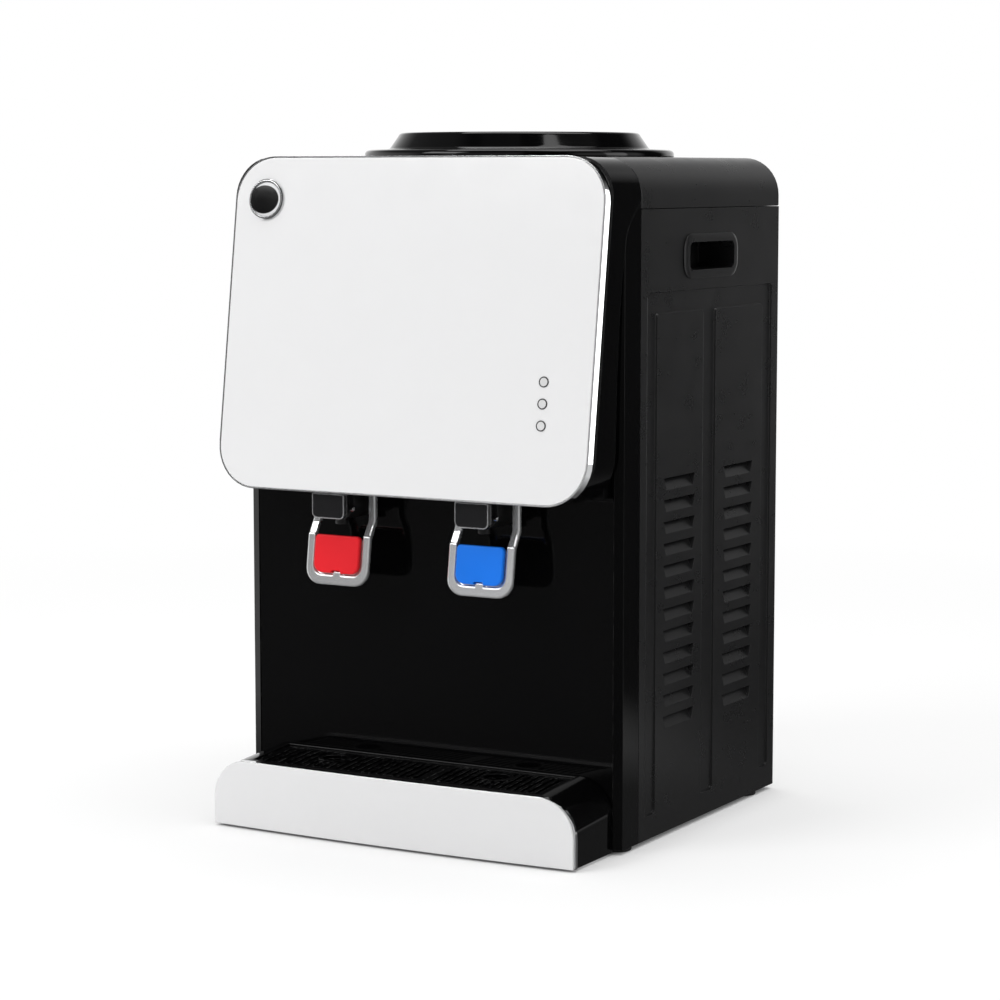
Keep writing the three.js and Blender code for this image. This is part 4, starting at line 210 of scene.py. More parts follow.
def mottle_group():
    """Slow, cloudy variation, as on handled plastic and paint."""
    name = "Mottle"
    if name in bpy.data.node_groups:
        return bpy.data.node_groups[name]
    group, given, out = new_group(name, {"Scale": 20.0, "Contrast": 1.0}, {"Value": "NodeSocketFloat"})
    place = add(group, "ShaderNodeTexCoord").outputs["Object"]
    cloud = add(
        group,
        "ShaderNodeTexNoise",
        inputs={"Vector": place, "Scale": given.outputs["Scale"], "Detail": 5.0},
    ).outputs["Fac"]
    centred = math_node(group, "SUBTRACT", cloud, 0.5)
    spread = math_node(group, "MULTIPLY", centred, given.outputs["Contrast"])
    group.links.new(math_node(group, "ADD", spread, 0.5, clamp=True), out.inputs["Value"])
    return group


def grain_group():
    """Fine bumps: the orange peel of gloss mouldings, or the texture of powder paint."""
    name = "Grain"
    if name in bpy.data.node_groups:
        return bpy.data.node_groups[name]
    group, given, out = new_group(
        name, {"Scale": 800.0, "Strength": 0.1}, {"Normal": "NodeSocketVector"}
    )
    place = add(group, "ShaderNodeTexCoord").outputs["Object"]
    noise = add(
        group,
        "ShaderNodeTexNoise",
        inputs={"Vector": place, "Scale": given.outputs["Scale"], "Detail": 3.0, "Roughness": 0.6},
    ).outputs["Fac"]
    bump = add(
        group,
        "ShaderNodeBump",
        inputs={"Height": noise, "Strength": given.outputs["Strength"], "Distance": BUMP_DEPTH},
    )
    group.links.new(bump.outputs["Normal"], out.inputs["Normal"])
    return group


def edge_group():
    """Mask of outer edges, broken up as real wear is; it marks rubbed edges, and on some finishes
    painted highlight lines and glints.
    """
    name = "Edge wear"
    if name in bpy.data.node_groups:
        return bpy.data.node_groups[name]
    group, given, out = new_group(
        name, {"Radius": 0.0008, "Amount": 0.5, "Breakup": 1.0}, {"Mask": "NodeSocketFloat"}
    )
    soft = add(group, "ShaderNodeBevel", {"samples": 4}, {"Radius": given.outputs["Radius"]})
    true = add(group, "ShaderNodeNewGeometry").outputs["Normal"]
    dot = add(
        group, "ShaderNodeVectorMath", {"operation": "DOT_PRODUCT"}, {0: soft.outputs["Normal"], 1: true}
    )
    bend = mapped(group, dot.outputs["Value"], 1.0, 0.0, 0.75, 0.99)
    place = add(group, "ShaderNodeTexCoord").outputs["Object"]
    broken = add(group, "ShaderNodeTexNoise", inputs={"Vector": place, "Scale": 160.0, "Detail": 6.0})
    whole = math_node(group, "SUBTRACT", 1.0, given.outputs["Breakup"])
    patches = mapped(group, broken.outputs["Fac"], whole, 1.0, 0.42, 0.7)
    mask = math_node(group, "MULTIPLY", bend, patches)
    amount = math_node(group, "MULTIPLY", mask, given.outputs["Amount"], clamp=True)
    group.links.new(amount, out.inputs["Mask"])
    return group


def wipe_group():
    """Faint streaks left by wiping, drawn out along one direction."""
    name = "Wipe marks"
    if name in bpy.data.node_groups:
        return bpy.data.node_groups[name]
    group, given, out = new_group(name, {"Scale": 1.0, "Amount": 1.0}, {"Value": "NodeSocketFloat"})
    place = add(group, "ShaderNodeTexCoord").outputs["Object"]
    turned = add(
        group,
        "ShaderNodeMapping",
        inputs={"Vector": place, "Rotation": (0.3, 0.5, 0.2), "Scale": (9.0, 9.0, 140.0)},
    ).outputs["Vector"]
    sized = add(
        group,
        "ShaderNodeVectorMath",
        {"operation": "SCALE"},
        {0: turned, "Scale": given.outputs["Scale"]},
    ).outputs["Vector"]
    streak = add(group, "ShaderNodeTexNoise", inputs={"Vector": sized, "Scale": 1.0, "Detail": 4.0})
    kept = mapped(group, streak.outputs["Fac"], 0.0, 1.0, 0.45, 0.75)
    group.links.new(math_node(group, "MULTIPLY", kept, given.outputs["Amount"]), out.inputs["Value"])
    return group


def dust_group():
    """Thin dust on faces that look up."""
    name = "Settled dust"
    if name in bpy.data.node_groups:
        return bpy.data.node_groups[name]
    group, given, out = new_group(name, {"Amount": 0.2}, {"Mask": "NodeSocketFloat"})
    normal = add(group, "ShaderNodeNewGeometry").outputs["Normal"]
    up = add(group, "ShaderNodeSeparateXYZ", inputs={"Vector": normal}).outputs["Z"]
    facing = mapped(group, up, 0.0, 1.0, 0.55, 0.95)
    place = add(group, "ShaderNodeTexCoord").outputs["Object"]
    specks = add(group, "ShaderNodeTexNoise", inputs={"Vector": place, "Scale": 900.0, "Detail": 2.0})
    patchy = mapped(group, specks.outputs["Fac"], 0.0, 1.0, 0.5, 0.8)
    mask = math_node(group, "MULTIPLY", facing, patchy)
    amount = math_node(group, "MULTIPLY", mask, given.outputs["Amount"], clamp=True)
    group.links.new(amount, out.inputs["Mask"])
    return group


def brushed_group():
    """Fine parallel lines of a brushed or drawn metal."""
    name = "Brushed lines"
    if name in bpy.data.node_groups:
        return bpy.data.node_groups[name]
    group, given, out = new_group(
        name,
        {"Along": 8.0, "Across": 900.0, "Strength": 0.1},
        {"Value": "NodeSocketFloat", "Normal": "NodeSocketVector"},
    )
    place = add(group, "ShaderNodeTexCoord").outputs["Object"]
    stretch = add(
        group,
        "ShaderNodeCombineXYZ",
        inputs={"X": given.outputs["Along"], "Y": given.outputs["Across"], "Z": given.outputs["Across"]},
    )
    lined = add(
        group,
        "ShaderNodeVectorMath",
        {"operation": "MULTIPLY"},
        {0: place, 1: stretch.outputs["Vector"]},
    ).outputs["Vector"]
    noise = add(
        group, "ShaderNodeTexNoise", inputs={"Vector": lined, "Scale": 1.0, "Detail": 3.0}
    ).outputs["Fac"]
    bump = add(
        group,
        "ShaderNodeBump",
        inputs={"Height": noise, "Strength": given.outputs["Strength"], "Distance": BUMP_DEPTH},
    )
    group.links.new(noise, out.inputs["Value"])
    group.links.new(bump.outputs["Normal"], out.inputs["Normal"])
    return group


# ---------------------------------------------------------------- finishes


def finish(name, build):
    """The material called name, built once by build(tree, shader)."""
    if name in bpy.data.materials:
        return bpy.data.materials[name]
    material = bpy.data.materials.new(name)
    material.use_nodes = True
    tree = material.node_tree
    build(tree, tree.nodes["Principled BSDF"])
    return material


DUST = (0.42, 0.41, 0.39, 1.0)


def dressed(
    tree, shader, colour, rough, grain, wear=0.3, dust=0.15, wipe=0.06, worn=(0.3, 0.3, 0.3), vary=0.82,
    breakup=1.0, edge_radius=0.0007,
):
    """Colour, roughness and bumps that plastics and paints share.

    rough is (low, high) and grain is (scale, strength). wear, dust and wipe are amounts, the edge colour
    is that of rubbed edges on some finishes and of painted highlight lines and glints on others, breakup
    how patchy they are, and vary how dark the cloudy colour gets.
    """
    tone = use(tree, mottle_group(), Scale=14.0, Contrast=1.6)["Value"]
    darker = tuple(c * vary for c in colour)
    base = blended(tree, tone, rgba(darker), rgba(colour))
    edge = use(tree, edge_group(), Radius=edge_radius, Amount=wear, Breakup=breakup)["Mask"]
    # Edge colour: rubbed edges on some finishes, painted highlight lines and glints on others.
    base = blended(tree, edge, base, rgba(worn))
    film = use(tree, dust_group(), Amount=dust)["Mask"]
    base = blended(tree, film, base, DUST)
    tree.links.new(base, shader.inputs["Base Color"])
    cloud = use(tree, mottle_group(), Scale=55.0, Contrast=2.2)["Value"]
    level = mapped(tree, cloud, rough[0], rough[1])
    marks = use(tree, wipe_group(), Amount=wipe)["Value"]
    level = math_node(tree, "ADD", level, marks)
    level = math_node(tree, "ADD", level, math_node(tree, "MULTIPLY", film, 0.5), clamp=True)
    tree.links.new(level, shader.inputs["Roughness"])
    bumps = use(tree, grain_group(), Scale=grain[0], Strength=grain[1])["Normal"]
    tree.links.new(bumps, shader.inputs["Normal"])


def glossy(name, rough, strength, **wear):
    """A gloss black moulding; rough is (low, high) and strength is that of its grain."""
    def build(tree, shader):
        dressed(tree, shader, colours().gloss_black, rough, (420.0, strength), **wear)
        shader.inputs["Specular IOR Level"].default_value = 0.3

    return finish(name, build)


def gloss_black():
    # The lighter edge colour draws thin lines along the edges: partly rubbing, partly painted highlight.
    return glossy(
        "Gloss black moulding", (0.05, 0.09), 0.015, wear=0.2, dust=0.004, wipe=0.015,
        worn=(0.2, 0.2, 0.2),
    )


def gloss_grille():
    # The pale, broken edge colour paints glints along the bars' edges.
    return glossy(
        "Gloss black grille", (0.06, 0.12), 0.03, wear=0.7, dust=0.0, wipe=0.02, worn=(0.35, 0.35, 0.35),
        edge_radius=0.0005,
    )


def satin(name, grain_scale):
    """A satin black with a thin, even line of painted highlight along its edges."""
    def build(tree, shader):
        dressed(
            tree, shader, colours().satin_black, (0.26, 0.31), (grain_scale, 0.05), wear=0.4, dust=0.03,
            wipe=0.02, worn=(0.045, 0.045, 0.045), breakup=0.0, edge_radius=0.0003,
        )

    return finish(name, build)


def satin_black():
    return satin("Satin black paint", 2600.0)


def cover_black():
    return satin("Satin black moulding", 1800.0)


def plain(name, colour, rough, grain, into=None, **wear):
    """A plastic or paint of one colour; into is the (weight, reach) of light beneath its surface."""
    def build(tree, shader):
        dressed(tree, shader, colour, rough, grain, **wear)
        if into:
            weight, reach = into
            shader.inputs["Subsurface Weight"].default_value = weight
            shader.inputs["Subsurface Radius"].default_value = (reach, reach, reach)

    return finish(name, build)


def matt_black():
    return plain(
        "Matt black moulding", (0.012, 0.012, 0.012), (0.45, 0.6), (1500.0, 0.25), wear=0.3, dust=0.2
    )


def panel_white():
    def build(tree, shader):
        dressed(
            tree, shader, colours().panel_white, (0.10, 0.16), (300.0, 0.012), wear=0.2, dust=0.0,
            worn=(0.6, 0.6, 0.62), wipe=0.02, vary=0.985,
        )
        shader.inputs["Coat Weight"].default_value = 0.5
        shader.inputs["Coat Roughness"].default_value = 0.04

    return finish("White front plate", build)


def metal(name, colour, rough, along, across, strength, metallic=1.0, rounding=0.0):
    """Brushed or plated metal; rounding is how far its edges look rolled over.

    along and across are the scales of its drawn lines, and strength is their depth.
    """
    def build(tree, shader):
        lines = use(tree, brushed_group(), Along=along, Across=across, Strength=strength)
        cloud = use(tree, mottle_group(), Scale=40.0, Contrast=2.0)["Value"]
        dull = tuple(c * 0.86 for c in colour)
        base = blended(tree, lines["Value"], rgba(dull), rgba(colour))
        edge = use(tree, edge_group(), Radius=0.0006, Amount=0.3)["Mask"]
        base = blended(tree, edge, base, (0.9, 0.9, 0.9, 1.0))
        tree.links.new(base, shader.inputs["Base Color"])
        level = mapped(tree, cloud, rough[0], rough[1])
        marks = use(tree, wipe_group(), Amount=0.03)["Value"]
        tree.links.new(math_node(tree, "ADD", level, marks, clamp=True), shader.inputs["Roughness"])
        normal = lines["Normal"]
        if rounding:
            rolled = add(tree, "ShaderNodeBevel", {"samples": 8}, {"Radius": rounding, "Normal": normal})
            normal = rolled.outputs["Normal"]
        tree.links.new(normal, shader.inputs["Normal"])
        shader.inputs["Metallic"].default_value = metallic

    return finish(name, build)


def chrome():
    return metal("Chrome", (0.86, 0.865, 0.875), (0.03, 0.08), 30.0, 60.0, 0.008)


def bent_chrome():
    return metal(
        "Chrome bar", (0.86, 0.865, 0.875), (0.04, 0.09), 30.0, 60.0, 0.008, 0.75, rounding=0.0018
    )


def steel():
    return metal("Stainless steel", (0.56, 0.57, 0.58), (0.24, 0.36), 6.0, 1200.0, 0.12)


def galvanised():
    return metal("Galvanised steel", (0.45, 0.46, 0.47), (0.38, 0.55), 60.0, 90.0, 0.1)


def copper():
    return metal("Copper tube", (0.72, 0.36, 0.2), (0.22, 0.4), 30.0, 500.0, 0.08)


def coloured(name, colour):
    def build(tree, shader):
        lighter = tuple(min(1.0, c * 1.4 + 0.02) for c in colour)
        dressed(
            tree, shader, colour, (0.34, 0.42), (500.0, 0.03), wear=0.35, dust=0.01, wipe=0.02,
            worn=lighter,
        )
        shader.inputs["Specular IOR Level"].default_value = 0.25
        shader.inputs["Subsurface Weight"].default_value = 0.08
        shader.inputs["Subsurface Radius"].default_value = (0.004, 0.002, 0.002)
        shader.inputs["Subsurface Scale"].default_value = 0.5

    return finish(name, build)


def hot_red():
    return coloured("Hot red", colours().hot_red)


def cold_blue():
    return coloured("Cold blue", colours().cold_blue)


def ink():
    return plain(
        "Printed ring", (0.03, 0.03, 0.032), (0.3, 0.4), (900.0, 0.05), wear=0.05, dust=0.0, wipe=0.02
    )


def smoke():
    # The near-white edge colour paints light rims along the cap's edges, a painted highlight.
    return plain(
        "Smoky acrylic", (0.012, 0.012, 0.013), (0.08, 0.14), (300.0, 0.02), wear=1.0, dust=0.0,
        wipe=0.03, worn=(0.85, 0.85, 0.87), breakup=0.1, edge_radius=0.0014,
    )


BADGE_CENTRE = (-0.1262, 0.0, 0.4572)
BADGE_OVAL = (0.0124, 1000.0, 0.0102)  # half its width and height, and a depth without end


def badge_print():
    """A bare dark oval on a silvery disc."""
    def build(tree, shader):
        dressed(
            tree, shader, colours().gloss_black, (0.08, 0.14), (420.0, 0.015), wear=0.1, dust=0.0,
            wipe=0.02,
        )
        place = add(tree, "ShaderNodeTexCoord").outputs["Object"]
        fitted = add(
            tree,
            "ShaderNodeMapping",
            {"vector_type": "TEXTURE"},
            {"Vector": place, "Location": BADGE_CENTRE, "Scale": BADGE_OVAL},
        ).outputs["Vector"]
        away = add(tree, "ShaderNodeVectorMath", {"operation": "LENGTH"}, {0: fitted}).outputs["Value"]
        outside = mapped(tree, away, 0.0, 1.0, 0.98, 1.02)
        dark = shader.inputs["Base Color"].links[0].from_socket
        base = blended(tree, outside, dark, (0.74, 0.74, 0.75, 1.0))
        tree.links.new(base, shader.inputs["Base Color"])

    return finish("Badge print", build)


def rubber():
    return plain("Rubber", (0.014, 0.014, 0.015), (0.6, 0.78), (1400.0, 0.3), wear=0.2, dust=0.3)


def hose():
    return plain(
        "Silicone hose", (0.7, 0.68, 0.62), (0.35, 0.5), (900.0, 0.12), (0.2, 0.003), wear=0.1, dust=0.2
    )


def foam():
    def build(tree, shader):
        place = add(tree, "ShaderNodeTexCoord").outputs["Object"]
        beads = add(tree, "ShaderNodeTexVoronoi", inputs={"Vector": place, "Scale": 260.0})
        shade = mapped(tree, beads.outputs["Distance"], 1.0, 0.0, 0.0, 0.9)
        base = blended(tree, shade, (0.62, 0.62, 0.58, 1.0), (0.86, 0.86, 0.82, 1.0))
        tree.links.new(base, shader.inputs["Base Color"])
        bump = add(tree, "ShaderNodeBump", inputs={"Height": shade, "Strength": 0.5, "Distance": 0.0006})
        tree.links.new(bump.outputs["Normal"], shader.inputs["Normal"])
        cloud = use(tree, mottle_group(), Scale=60.0, Contrast=1.5)["Value"]
        tree.links.new(mapped(tree, cloud, 0.82, 0.98), shader.inputs["Roughness"])

    return finish("Bead foam", build)


def lens():
    return plain(
        "Indicator lens", (0.8, 0.8, 0.8), (0.08, 0.16), (600.0, 0.03), (0.2, 0.002), wear=0.05,
        dust=0.0, wipe=0.02,
    )


def board():
    return plain("Circuit board", (0.02, 0.14, 0.05), (0.3, 0.42), (700.0, 0.1), wear=0.2, dust=0.1)


def enamel():
    return plain("Black enamel", (0.012, 0.012, 0.012), (0.3, 0.45), (900.0, 0.2), wear=0.35, dust=0.2)


# ---------------------------------------------------------------- mesh helpers


def settle(name, bm, material, body, nodes, smooth=40.0):
    """Makes the mesh an object that rides on body and stands for the CAD nodes."""
    mesh = bpy.data.meshes.new(name)
    bm.to_mesh(mesh)
    bm.free()
    for face in mesh.polygons:
        face.use_smooth = True
    mesh.set_sharp_from_angle(angle=math.radians(smooth))
    mesh.materials.append(material)
    obj = bpy.data.objects.new(name, mesh)
    bpy.context.scene.collection.objects.link(obj)
    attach(obj, body)
    if nodes:
        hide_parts(*nodes)
    return obj


def soften(obj, width, segments=3, angle=32.0):
    """Rounds the edges of a piece and evens its shading."""
    bevel = obj.modifiers.new("Edges", "BEVEL")
    bevel.width = width
    bevel.segments = segments
    bevel.limit_method = "ANGLE"
    bevel.angle_limit = math.radians(angle)
    bevel.use_clamp_overlap = True
    bevel.harden_normals = False
    even = obj.modifiers.new("Shading", "WEIGHTED_NORMAL")
    even.keep_sharp = False
    even.weight = 60
    return obj


def copied(node):
    """A bmesh of a CAD node, with its flat faces made whole again."""
    merge, flat = 2e-6, math.radians(0.4)
    bm = bmesh.new()
    bm.from_mesh(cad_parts[node].data)
    bmesh.ops.remove_doubles(bm, verts=bm.verts, dist=merge)
    bmesh.ops.dissolve_degenerate(bm, edges=bm.edges, dist=merge)
    bmesh.ops.dissolve_limit(
        bm, angle_limit=flat, use_dissolve_boundaries=False, verts=bm.verts, edges=bm.edges
    )
    return bm


def surfaced(node, material, body, width=None, segments=3, angle=32.0, shape=None):
    """A softened copy of a CAD node; shape changes the copy first."""
    bm = copied(node)
    if shape:
        shape(bm)
    obj = settle(f"{node}_surface", bm, material, body, [node], smooth=180.0)
    return soften(obj, sizes().moulded_edge if width is None else width, segments, angle)


def paint(node, material):
    """Gives its finish to a CAD node that is kept as it is."""
    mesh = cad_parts[node].data
    mesh.materials.clear()
    mesh.materials.append(material)


def swept(bm, start, radius, steps):
    """A tube from start, first along +Y; a step is a move, or (centre, axis, degrees) of a bend."""
    facet = 9  # degrees of bend in one segment
    place = Matrix.Translation(start) @ Matrix.Rotation(math.radians(90), 4, "X")
    ring = bmesh.ops.create_circle(bm, cap_ends=False, segments=16, radius=radius, matrix=place)
    verts = ring["verts"]
    edges = list({e for v in verts for e in v.link_edges})
    ends = list(edges)
    for step in steps:
        bend = isinstance(step[0], tuple)
        if bend:
            centre, axis, degrees = step
            made = bmesh.ops.spin(
                bm, geom=verts + edges, cent=centre, axis=axis, angle=math.radians(degrees),
                steps=degrees // facet, use_merge=False, use_duplicate=False,
            )["geom_last"]
        else:
            made = bmesh.ops.extrude_edge_only(bm, edges=edges)["geom"]
        verts = [g for g in made if isinstance(g, bmesh.types.BMVert)]
        if not bend:
            bmesh.ops.translate(bm, verts=verts, vec=step)
        edges = [g for g in made if isinstance(g, bmesh.types.BMEdge)]
        edges = [e for e in edges if all(v in verts for v in e.verts)]
    for loop in (ends, edges):
        bmesh.ops.edgeloop_fill(bm, edges=loop)
    bmesh.ops.recalc_face_normals(bm, faces=bm.faces)


def block(bm, low, high):
    """A box between two corners."""
    low, high = Vector(low), Vector(high)
    place = Matrix.Translation((low + high) / 2) @ Matrix.Diagonal((*(high - low), 1.0))
    bmesh.ops.create_cube(bm, size=1.0, matrix=place)


def spun(profile, centre, steps):
    """A bmesh turned about a vertical axis from (radius, height) points in metres, open or closed."""
    bm = bmesh.new()
    line = [bm.verts.new((r, 0.0, z)) for r, z in profile]
    for a, b in zip(line, line[1:]):
        bm.edges.new((a, b))
    bmesh.ops.spin(
        bm,
        geom=bm.verts[:] + bm.edges[:],
        cent=(0, 0, 0),
        axis=(0, 0, 1),
        angle=math.tau,
        steps=steps,
        use_merge=True,
        use_duplicate=False,
    )
    bmesh.ops.remove_doubles(bm, verts=bm.verts, dist=1e-6)
    bmesh.ops.translate(bm, verts=bm.verts, vec=centre)
    bmesh.ops.recalc_face_normals(bm, faces=bm.faces)
    return bm


# ---------------------------------------------------------------- operators, one for each piece or group


class BuildsPieces:
    """What the building operators share."""

    bl_options = {"REGISTER", "UNDO"}


class DISPENSER_OT_housing(BuildsPieces, bpy.types.Operator):
    """Front frame, splash panel and hood"""

    bl_idname = "dispenser.housing"
    bl_label = "Housing"

    def execute(self, context):
        for node, width in (("front_frame", 0.0006), ("splash_panel", 0.0005), ("hood_shell", 0.0007)):
            surfaced(node, gloss_black(), CABINET, width)
        return {"FINISHED"}


class DISPENSER_OT_front_panel(BuildsPieces, bpy.types.Operator):
    """White front panel, its chrome frame, the bare badge and the indicators"""

    bl_idname = "dispenser.front_panel"
    bl_label = "Front panel"

    def execute(self, context):
        surfaced("front_panel", panel_white(), CABINET, sizes().plate_edge)
        surfaced("panel_trim", chrome(), CABINET, 0.0003, shape=self.flared)
        surfaced("badge_ring", chrome(), CABINET, 0.0003)
        surfaced("badge_face", badge_print(), CABINET, 0.0003)
        for name in ("power", "hot", "cold"):
            surfaced(f"indicator_{name}", lens(), CABINET, 0.0002)
            self.printed_ring(name)
        paint("indicator_board", board())
        return {"FINISHED"}

    def flared(self, bm):
        """Widens the rear of the trim, so that its sides turn to the front."""
        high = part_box("panel_trim")[1]
        reach = 0.6 * MM  # how far in front of the rearmost edge a point still counts as rear
        rear = self.face_depth(high) - reach
        back = [v for v in bm.verts if self.face_depth(v.co) > rear]
        wider = 1.0 + sizes().trim_flare / high.x
        bmesh.ops.scale(bm, verts=back, vec=(wider, 1.0, 1.0))

    def face_depth(self, point):
        """How far a point lies behind the plane of the leaning front."""
        return -point.dot(LEANING)

    def printed_ring(self, name):
        low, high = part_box(f"indicator_{name}")
        front = max(v.co.dot(LEANING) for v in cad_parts[f"indicator_{name}"].data.vertices)
        centre = (low + high) / 2
        centre += LEANING * (front - centre.dot(LEANING) - 0.25 * MM)
        radius = (high.x - low.x) / 2
        inner, crest, outer = radius - 0.25 * MM, radius + 0.15 * MM, radius + 0.55 * MM
        foot, shoulder, top = -0.2 * MM, 0.32 * MM, 0.38 * MM
        profile = [
            (inner, foot), (inner, shoulder), (crest, top), (outer, shoulder), (outer, foot),
            (inner, foot),
        ]
        bm = spun(profile, (0, 0, 0), 48)
        turn = Vector((0, 0, 1)).rotation_difference(LEANING).to_matrix()
        bmesh.ops.rotate(bm, verts=bm.verts, cent=(0, 0, 0), matrix=turn)
        bmesh.ops.translate(bm, verts=bm.verts, vec=centre)
        settle(f"indicator_{name}_ring", bm, ink(), CABINET, [], 40.0)


class DISPENSER_OT_side_panels(BuildsPieces, bpy.types.Operator):
    """Pressed and painted side panels with their hand holds"""

    bl_idname = "dispenser.side_panels"
    bl_label = "Side panels"

    def rolled(self, bm):
        """Lays the front walls of the pressed channels over, as a press leaves them."""
        channel_depth, lean = 1.4 * MM, 2.4 * MM
        channel_length = 100 * MM  # a channel's edge is longer than this, a louvre's is shorter
        floor = max(abs(v.co.x) for v in bm.verts) - channel_depth
        feet = set()
        for edge in bm.edges:
            a, b = edge.verts
            upright = abs(a.co.z - b.co.z) > channel_length and abs(a.co.y - b.co.y) < 1 * MM
            if upright and all(abs(abs(v.co.x) - floor) < 0.2 * MM for v in (a, b)):
                if any(0.1 < abs(f.normal.x) < 0.9 and f.normal.y > 0.3 for f in edge.link_faces):
                    feet.update((a, b))
        bmesh.ops.translate(bm, verts=list(feet), vec=(0.0, lean, 0.0))

    def execute(self, context):
        for side in ("left", "right"):
            surfaced(
                f"side_panel_{side}", satin_black(), CABINET, sizes().sheet_edge, 2, 20.0,
                shape=self.rolled,
            )
            surfaced(f"hand_hold_{side}", cover_black(), CABINET, 0.0007)
        return {"FINISHED"}


class DISPENSER_OT_top_cover(BuildsPieces, bpy.types.Operator):
    """Moulded top cover"""

    bl_idname = "dispenser.top_cover"
    bl_label = "Top cover"

    def execute(self, context):
        surfaced("top_cover", cover_black(), CABINET)
        return {"FINISHED"}


# The collar's section: (radius, height above the cover) in mm
COLLAR_PROFILE = (
    (14, -60.0), (29.5, -60.0), (29.5, -34.0), (66.5, -5.7), (79.5, 8.3), (82.3, 15.6), (83.2, 17.3),
    (84.8, 18.2), (86.2, 18.4), (88.2, 18.2), (89.8, 17.2), (90.6, 15.8), (95.6, 8.6), (96.8, 6.9),
    (98.6, 6.2), (112.0, 5.7), (114.2, 5.0), (115.3, 3.6), (115.5, 2.2), (115.5, 0.3), (96.3, 0.3),
    (96.3, -8.7), (93.9, -8.7), (91.9, 2.3), (72.5, -6.1), (31.9, -36.4), (31.9, -62.4), (14, -62.4),
)


class DISPENSER_OT_bottle_seat(BuildsPieces, bpy.types.Operator):
    """Bottle collar and probe"""

    bl_idname = "dispenser.bottle_seat"
    bl_label = "Bottle seat"

    def execute(self, context):
        low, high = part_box("bottle_collar")
        centre = (low + high) / 2
        base = high.z - max(z for r, z in COLLAR_PROFILE) * MM
        profile = [(r * MM, base + z * MM) for r, z in COLLAR_PROFILE]
        bm = spun(profile + [profile[0]], (centre.x, centre.y, 0), sizes().collar_steps)
        obj = settle(
            "bottle_collar_surface", bm, gloss_black(), "bottle_seat", ["bottle_collar"],
            smooth=180.0,
        )
        soften(obj, 0.0007, 3, 25.0)
        surfaced("bottle_probe", matt_black(), "bottle_seat", 0.0004)
        return {"FINISHED"}


class DISPENSER_OT_drip_tray(BuildsPieces, bpy.types.Operator):
    """Drip tray, its front plate and its grilles"""

    bl_idname = "dispenser.drip_tray"
    bl_label = "Drip tray"

    def execute(self, context):
        surfaced("drip_tray", gloss_black(), "drip_tray", 0.0006)
        surfaced("tray_front_plate", panel_white(), "drip_tray", sizes().plate_edge)
        surfaced("tray_trim", chrome(), "drip_tray", 0.0003, shape=self.flared)
        for side in ("left", "right"):
            surfaced(f"grille_{side}", gloss_grille(), f"grille_{side}", 0.0004, 2)
        return {"FINISHED"}

    def flared(self, bm):
        """Widens the rear of the tray's trim, so that its sides turn to the front."""
        low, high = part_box("tray_trim")
        share = 0.6  # of the panel trim's flare
        back = [v for v in bm.verts if v.co.y > (low.y + high.y) / 2]
        bmesh.ops.scale(bm, verts=back, vec=(1.0 + share * sizes().trim_flare / high.x, 1.0, 1.0))


class DISPENSER_OT_taps(BuildsPieces, bpy.types.Operator):
    """Hot and cold taps with their levers and paddles"""

    bl_idname = "dispenser.taps"
    bl_label = "Taps"

    def execute(self, context):
        for name, paddle, slot in (("hot", hot_red(), "red"), ("cold", cold_blue(), "blue")):
            surfaced(f"{name}_tap_body", matt_black(), CABINET, 0.0005)
            surfaced(f"{name}_tap_cap", smoke(), CABINET, 0.0005, 3, shape=self.framed)
            self.boss(name)
            surfaced(f"{name}_lever_pin", steel(), CABINET, 0.0002)
            surfaced(f"{name}_lever", bent_chrome(), f"{name}_lever", 0.0004, 2)
            surfaced(f"{name}_paddle", paddle, f"{name}_lever", 0.0008, 3)
        return {"FINISHED"}

    def framed(self, bm):
        """Sinks the middle of the cap's front behind a thin frame."""
        border, sunk = 1.7 * MM, 0.5 * MM
        face = max((f for f in bm.faces if f.normal.y < -0.9), key=lambda f: f.calc_area())
        bmesh.ops.inset_region(bm, faces=[face], thickness=border, depth=-sunk, use_even_offset=True)

    def boss(self, name):
        """The bright end of a cross pin beside the tap's cap."""
        low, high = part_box(f"{name}_tap_cap")
        radius, length, edge = 1.9 * MM, 3.4 * MM, 0.8 * MM
        centre = (high.x - 0.6 * MM, high.y + 7.5 * MM, low.z + 6.5 * MM)
        bm = bmesh.new()
        bmesh.ops.create_cone(
            bm, cap_ends=True, cap_tris=False, segments=28, radius1=radius, radius2=radius, depth=length
        )
        caps = [e for e in bm.edges if e.calc_face_angle(0.0) > 1.0]
        bmesh.ops.bevel(
            bm, geom=caps, offset=edge, offset_type="OFFSET", segments=4, profile=0.5, affect="EDGES",
            material=-1,
        )
        bmesh.ops.rotate(bm, verts=bm.verts, cent=(0, 0, 0), matrix=Matrix.Rotation(math.pi / 2, 3, "Y"))
        bmesh.ops.translate(bm, verts=bm.verts, vec=centre)
        settle(f"{name}_tap_boss", bm, chrome(), CABINET, [], 40.0)


class DISPENSER_OT_base(BuildsPieces, bpy.types.Operator):
    """Base plate and feet"""

    bl_idname = "dispenser.base"
    bl_label = "Base and feet"

    def execute(self, context):
        surfaced("base_plate", galvanised(), CABINET, 0.0004, 2)
        for place in ("front_left", "front_right", "rear_left", "rear_right"):
            low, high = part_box(f"foot_{place}")
            centre, radius = (low + high) / 2, (high.x - low.x) / 2
            edge, dip = 1.2 * MM, 0.3 * MM
            profile = [
                (0.0, low.z), (radius - edge, low.z), (radius - dip, low.z + dip),
                (radius, low.z + edge), (radius, high.z), (0.0, high.z),
            ]
            bm = spun(profile, (centre.x, centre.y, 0), sizes().foot_steps)
            settle(f"foot_{place}_surface", bm, rubber(), CABINET, [f"foot_{place}"], 35.0)
        return {"FINISHED"}


